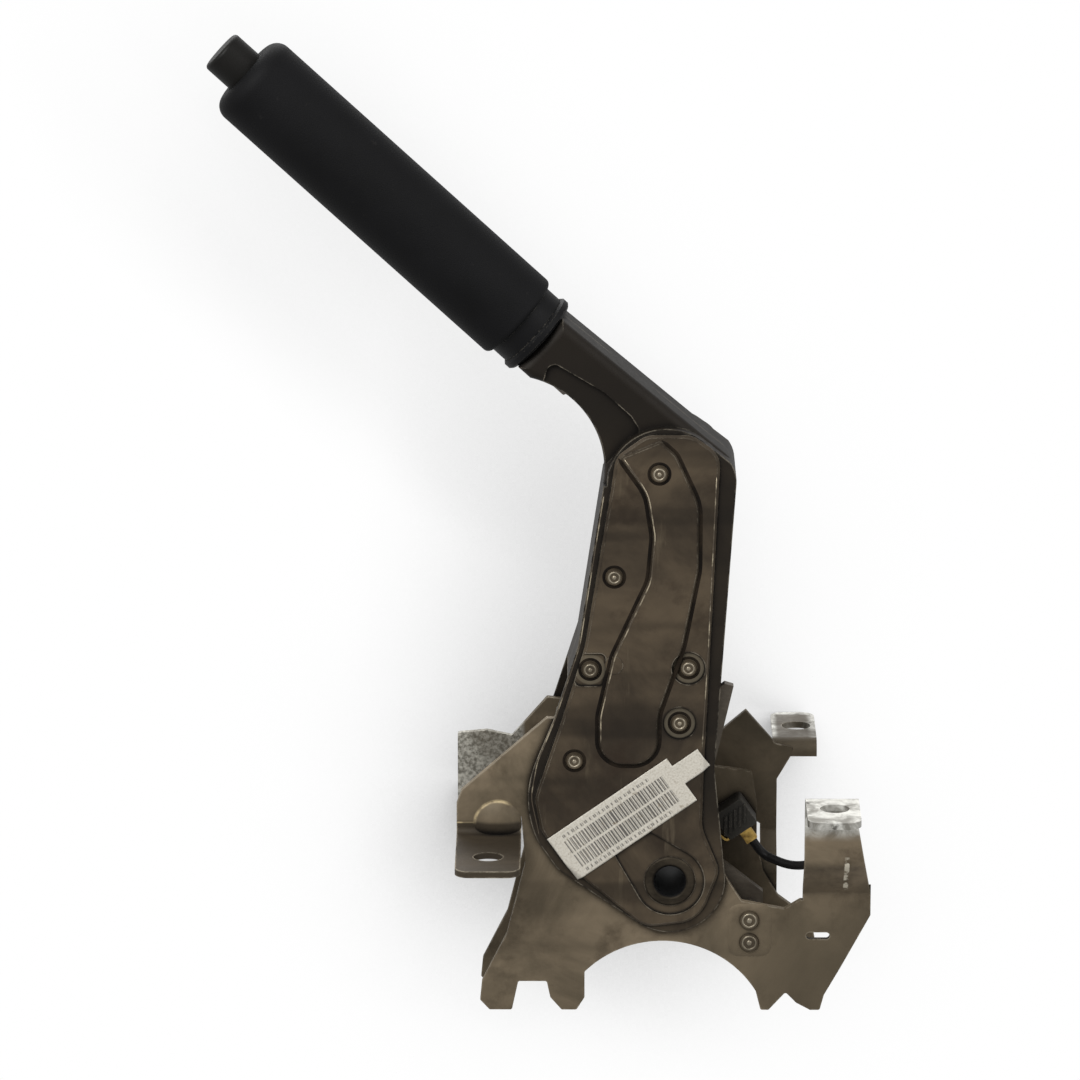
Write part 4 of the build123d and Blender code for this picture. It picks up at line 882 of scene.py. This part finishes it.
class FinishGrip(bpy.types.Operator):
    """Finishes the grip, its collar and the release button"""
    bl_idname = "brake_lever.finish_grip"
    bl_label = "Grip"

    def execute(self, context):
        settings = context.scene.brake_grip
        dress(["grip_sleeve"], grip_rubber(settings))
        dress(["grip_collar"], moulded_plastic("collar_plastic", rgb(5, 5, 6), 0.45))
        dress(["release_button"], moulded_plastic("button_plastic", tuple(settings.button_colour), 0.40))
        return {"FINISHED"}


class FinishSwitch(bpy.types.Operator):
    """Finishes the warning switch and its lead, and adds the ribs on its housing"""
    bl_idname = "brake_lever.finish_switch"
    bl_label = "Warning switch"

    def execute(self, context):
        grey = moulded_plastic("switch_plastic", rgb(52, 50, 46), 0.45)
        dress(["switch_body"], grey)
        dress(["switch_lead", "lead_plug"], moulded_plastic("lead_sleeve", rgb(20, 19, 19), 0.38))
        low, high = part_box("switch_body")
        middle = (low + high) / 2
        middle.y = low.y
        outward = Vector((cos(SWITCH_TILT), 0.0, sin(SWITCH_TILT)))
        points = [middle + outward * RIB_STEP * (index - RIBS // 2) for index in range(RIBS)]
        grown("switch_ribs", points, [(0.0, -1.0, 0.0)] * len(points), rib_tree(),
              {"Length": 0.0074, "Width": 0.0009, "Material": grey}, grey, "base")
        return {"FINISHED"}


class AddRivetFaces(bpy.types.Operator):
    """Adds the closing ring and the point on each rivet head"""
    bl_idname = "brake_lever.add_rivet_faces"
    bl_label = "Rivet faces"

    def execute(self, context):
        steel = dull_steel("rivet_point_steel", rgb(78, 70, 57), rgb(176, 166, 146), 0.28, 0.8)
        tree = rivet_face_tree()
        for name, side in (("near_rivet_faces", -1), ("far_rivet_faces", 1)):
            points = [(x / 1000, side * (face + RIVET_TOP) / 1000, z / 1000) for (x, z), face in ARM_RIVETS]
            grown(name, points, [(0.0, side, 0.0)] * len(points), tree,
                  {"Ring Radius": 0.0019, "Ring Thickness": 0.00038, "Point Radius": 0.00085,
                   "Material": steel}, steel, "arm")
        points = [(x, side * BASE_RIVET_TOP, z) for side in (-1, 1) for x, z in BASE_RIVETS]
        turns = [(0.0, side, 0.0) for side in (-1, 1) for spot in BASE_RIVETS]
        grown("base_rivet_faces", points, turns, tree,
              {"Ring Radius": 0.0024, "Ring Thickness": 0.0004, "Point Radius": 0.0011, "Material": steel},
              steel, "base")
        return {"FINISHED"}


class AddPressings(bpy.types.Operator):
    """Adds the skin over the pawl pin's ends, the bump on the front wing and the pad of the base rivets"""
    bl_idname = "brake_lever.add_pressings"
    bl_label = "Small pressings"

    def execute(self, context):
        arm_coat = bpy.data.materials["arm_dip_coat"]
        base_coat = bpy.data.materials["base_dip_coat"]
        for name, side in (("near_pin_cover", -1), ("far_pin_cover", 1)):
            finished(name, pin_cover(name, side), arm_coat, "arm")
        bump = raised_patch("wing_bump", WING_BUMP, PLATE_FACE, -1, half_x=0.0085, half_z=0.0085,
                            rise=0.0026, sharp=2.2)
        finished("wing_bump", bump, base_coat, "base")
        pad = raised_patch("rivet_pad", RIVET_PAD, PLATE_FACE, -1, half_x=0.0080, half_z=0.0100,
                           rise=0.0006, sharp=9.0, square=5.0)
        finished("rivet_pad", pad, base_coat, "base")
        return {"FINISHED"}


class AddLines(bpy.types.Operator):
    """Adds dark beads of painted shade and grease in the channel's groove and round the rivets, and painted
    highlight lines along edges, bright in patches like wear
    """
    bl_idname = "brake_lever.add_lines"
    bl_label = "Grooves and worn edges"

    def execute(self, context):
        shade_and_grime = groove_grime()
        bright = rubbed_steel()
        for prefix, side in (("near", -1), ("far", 1)):
            # A dark bead of painted shade and grease along the channel's groove
            add_line(prefix + "_channel_groove", shade_and_grime, GROOVE_LINE, side, aside=-0.5, half_width=0.8,
                     rise=0.10, level=arm_level)
            for number, ((x, z), face) in enumerate(ARM_RIVETS):
                # A dark ring of painted shade and grease: a square whose corners are rounded nearly to a
                # circle
                ring = [((x + a * SHADE_RING_REACH, z + b * SHADE_RING_REACH), SHADE_RING_ROUNDING)
                        for a, b in ((1, 1), (-1, 1), (-1, -1), (1, -1))]
                add_line(f"{prefix}_rivet_shade_ring_{number}", shade_and_grime, ring, side, aside=0.0, half_width=0.55,
                         rise=0.08, level=lambda x, z: face, closed=True)
            # Painted highlight lines along the channel's left edge, the pad's right edge and the rim, bright
            # in patches like wear
            for name, corners, aside, face in (
                ("_channel_highlight", CHANNEL_HIGHLIGHT, 0.85, CHANNEL_FACE), ("_pad_highlight", PAD_HIGHLIGHT, 0.0, PAD_FACE),
                ("_rim_highlight", RIM_HIGHLIGHT, 0.0, RIM_FACE),
            ):
                add_line(prefix + name, bright, corners, side, aside, half_width=0.22, rise=0.05,
                         level=lambda x, z: face)
        return {"FINISHED"}


class AddWelds(bpy.types.Operator):
    """Adds the weld beads that hold the rear bracket"""
    bl_idname = "brake_lever.add_welds"
    bl_label = "Weld beads"

    def execute(self, context):
        settings = context.scene.brake_base
        bead = dull_steel("weld_steel", rgb(60, 52, 42), rgb(110, 102, 88), 0.42, 0.9)
        points, sizes = [], []
        for column, count in WELD_COLUMNS:
            for index in range(count):
                points.append((column, WELD_FACE, WELD_FOOT + WELD_STEP * index))
                sizes.append(0.85 + 0.25 * sin(index * 2.3 + column * 900))
        grown("bracket_welds", points, [(0.0, 1.0, 0.0)] * len(points), weld_bead_tree(),
              {"Drop Radius": settings.bead_radius, "Drop Height": 0.7, "Material": bead}, bead, "base",
              sizes)
        return {"FINISHED"}


class AddLabel(bpy.types.Operator):
    """Lays the paper label with its plain bars on the near side of the arm"""
    bl_idname = "brake_lever.add_label"
    bl_label = "Label"

    def execute(self, context):
        settings = context.scene.brake_label
        corner = Vector(LABEL_CORNER)
        u_axis = Vector((cos(settings.turn), sin(settings.turn)))
        v_axis = Vector((sin(settings.turn), -cos(settings.turn)))
        columns = int((TAIL_END + LABEL_CELL) / LABEL_CELL)
        rows = int(settings.width / LABEL_CELL)

        def covered(u, v):
            main = LABEL_START <= u <= settings.length and v <= settings.width
            tail = settings.length - 0.1 <= u <= TAIL_END and TAIL_SIDES[0] <= v <= TAIL_SIDES[1]
            return main or tail

        def depth(x, z):
            """The paper's depth: it lies on the pad, bends down past the pad's edges and curls a little."""
            past = max(way[0] * (x - spot[0]) + way[1] * (z - spot[1]) for spot, way in PAD_EDGES)
            drop = max(0.0, min(1.0, (past + 0.6) / 2.6))
            drop = drop * drop * (3 - 2 * drop)
            curl = 0.10 * sin(x * 0.55) * sin(z * 0.4 + 1.0) + 0.12
            return -PAPER_FACE + PAPER_DROP * drop - max(0.0, curl) * 0.8

        vertices, faces, places, index = [], [], [], {}
        for row in range(rows):
            for column in range(columns):
                u, v = (column + 0.5) * LABEL_CELL, (row + 0.5) * LABEL_CELL
                if not covered(u, v):
                    continue
                face = []
                for du, dv in ((0, 0), (1, 0), (1, 1), (0, 1)):
                    key = (column + du, row + dv)
                    if key not in index:
                        flat = corner + u_axis * key[0] * LABEL_CELL + v_axis * key[1] * LABEL_CELL
                        index[key] = len(vertices)
                        vertices.append((flat.x / 1000, depth(flat.x, flat.y) / 1000, flat.y / 1000))
                        places.append((key[0] * LABEL_CELL, key[1] * LABEL_CELL))
                    face.append(index[key])
                faces.append(face)
        mesh = bpy.data.meshes.new("paper_label")
        mesh.from_pydata(vertices, [], faces)
        layer = mesh.uv_layers.new(name="label_map")
        for loop in mesh.loops:
            layer.data[loop.index].uv = places[loop.vertex_index]
        mesh.polygons.foreach_set("use_smooth", [True] * len(mesh.polygons))
        piece = finished("paper_label", mesh, label_paper(settings), "arm")
        if mesh.polygons[0].normal.y > 0:
            mesh.flip_normals()
        thick = piece.modifiers.new("paper", "SOLIDIFY")
        thick.thickness = PAPER_THICKNESS / 1000
        thick.offset = -1.0
        return {"FINISHED"}


class BuildStage(bpy.types.Operator):
    """Makes the white backdrop, the world, the soft lamps and the camera"""
    bl_idname = "brake_lever.build_stage"
    bl_label = "Stage and camera"

    def execute(self, context):
        settings = context.scene.brake_stage
        behind = CAD_BOX[1].y + BACKDROP_GAP
        half = BACKDROP_REACH
        mesh = bpy.data.meshes.new("backdrop")
        mesh.from_pydata([(-half, behind, -half), (half, behind, -half), (half, behind, half),
                          (-half, behind, half)], [], [(0, 1, 2, 3)])
        backdrop = bpy.data.objects.new("backdrop", mesh)
        context.scene.collection.objects.link(backdrop)
        mesh.materials.append(white_backdrop(settings))

        world = bpy.data.worlds.new("studio")
        context.scene.world = world
        world.use_nodes = True
        bench = Bench(world.node_tree)
        world.node_tree.nodes.clear()
        seen = bench.wire("ShaderNodeLightPath", "Is Camera Ray")
        shiny = bench.wire("ShaderNodeLightPath", "Is Glossy Ray")
        clear = bench.wire("ShaderNodeLightPath", "Is Transmission Ray")
        shown = seen.most(shiny * 0.5).most(clear)
        white = (1.0, 1.0, 1.0, 1.0)
        ambient = bench.wire("ShaderNodeBackground", 0, None, {"Color": white, "Strength": settings.ambient})
        plain = bench.wire("ShaderNodeBackground", 0, None, {"Color": white, "Strength": 1.0})
        mixed = bench.wire("ShaderNodeMixShader", 0, None, {0: shown, 1: ambient, 2: plain})
        bench.node("ShaderNodeOutputWorld", None, {"Surface": mixed})

        for name, place, power, size in (
            ("key_lamp", (-0.55, -0.75, 0.95), settings.lamp_power, 0.7),
            ("side_lamp", (0.85, -0.55, 0.55), settings.lamp_power * 0.35, 0.8),
            ("back_lamp", (-0.2, 0.9, 0.9), settings.lamp_power * 0.4, 0.9),
        ):
            data = bpy.data.lights.new(name, "AREA")
            data.energy = power
            data.size = size
            lamp = bpy.data.objects.new(name, data)
            lamp.location = place
            lamp.rotation_mode = "QUATERNION"
            lamp.rotation_quaternion = (Vector(LAMP_TARGET) - Vector(place)).to_track_quat("-Z", "Y")
            context.scene.collection.objects.link(lamp)

        data = bpy.data.cameras.new("photo_camera")
        camera = bpy.data.objects.new("photo_camera", data)
        context.scene.collection.objects.link(camera)
        context.scene.camera = camera
        azimuth, elevation = settings.azimuth, settings.elevation
        back = Vector((sin(azimuth) * cos(elevation), -cos(azimuth) * cos(elevation), sin(elevation)))
        camera.location = Vector(CAMERA_TARGET) + back * settings.distance
        camera.rotation_mode = "QUATERNION"
        camera.rotation_quaternion = (-back).to_track_quat("-Z", "Y")
        data.sensor_width = SENSOR_MM
        data.lens = SENSOR_MM * settings.distance / FRAME_HEIGHT
        data.clip_start, data.clip_end = 0.05, 20.0
        context.scene.view_settings.view_transform = "Standard"
        return {"FINISHED"}


class LeverPanel(bpy.types.Panel):
    """Lists the pieces and their settings"""
    bl_idname = "VIEW3D_PT_brake_lever"
    bl_label = "Parking brake lever"
    bl_space_type = "VIEW_3D"
    bl_region_type = "UI"
    bl_category = "Brake lever"

    def draw(self, context):
        for group in ("brake_arm", "brake_base", "brake_grip", "brake_label", "brake_stage"):
            box = self.layout.box()
            settings = getattr(context.scene, group)
            for name in settings.__annotations__:
                box.prop(settings, name)
        for operator in OPERATORS:
            self.layout.operator(operator.bl_idname)


SETTINGS = {
    "brake_arm": ArmSettings, "brake_base": BaseSettings, "brake_grip": GripSettings,
    "brake_label": LabelSettings, "brake_stage": StageSettings,
}
OPERATORS = [FinishArm, FinishBase, FinishMechanism, FinishGrip, FinishSwitch, AddRivetFaces, AddPressings,
             AddLines, AddWelds, AddLabel, BuildStage]


def register():
    for settings in SETTINGS.values():
        bpy.utils.register_class(settings)
    for operator in (*OPERATORS, LeverPanel):
        bpy.utils.register_class(operator)
    for name, settings in SETTINGS.items():
        setattr(bpy.types.Scene, name, bpy.props.PointerProperty(type=settings))


def unregister():
    for name in SETTINGS:
        delattr(bpy.types.Scene, name)
    for kept in (LeverPanel, *reversed(OPERATORS), *SETTINGS.values()):
        bpy.utils.unregister_class(kept)


def main():
    register()
    for operator in OPERATORS:
        group, name = operator.bl_idname.split(".")
        getattr(getattr(bpy.ops, group), name)()
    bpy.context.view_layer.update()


if __name__ == "__main__":
    main()
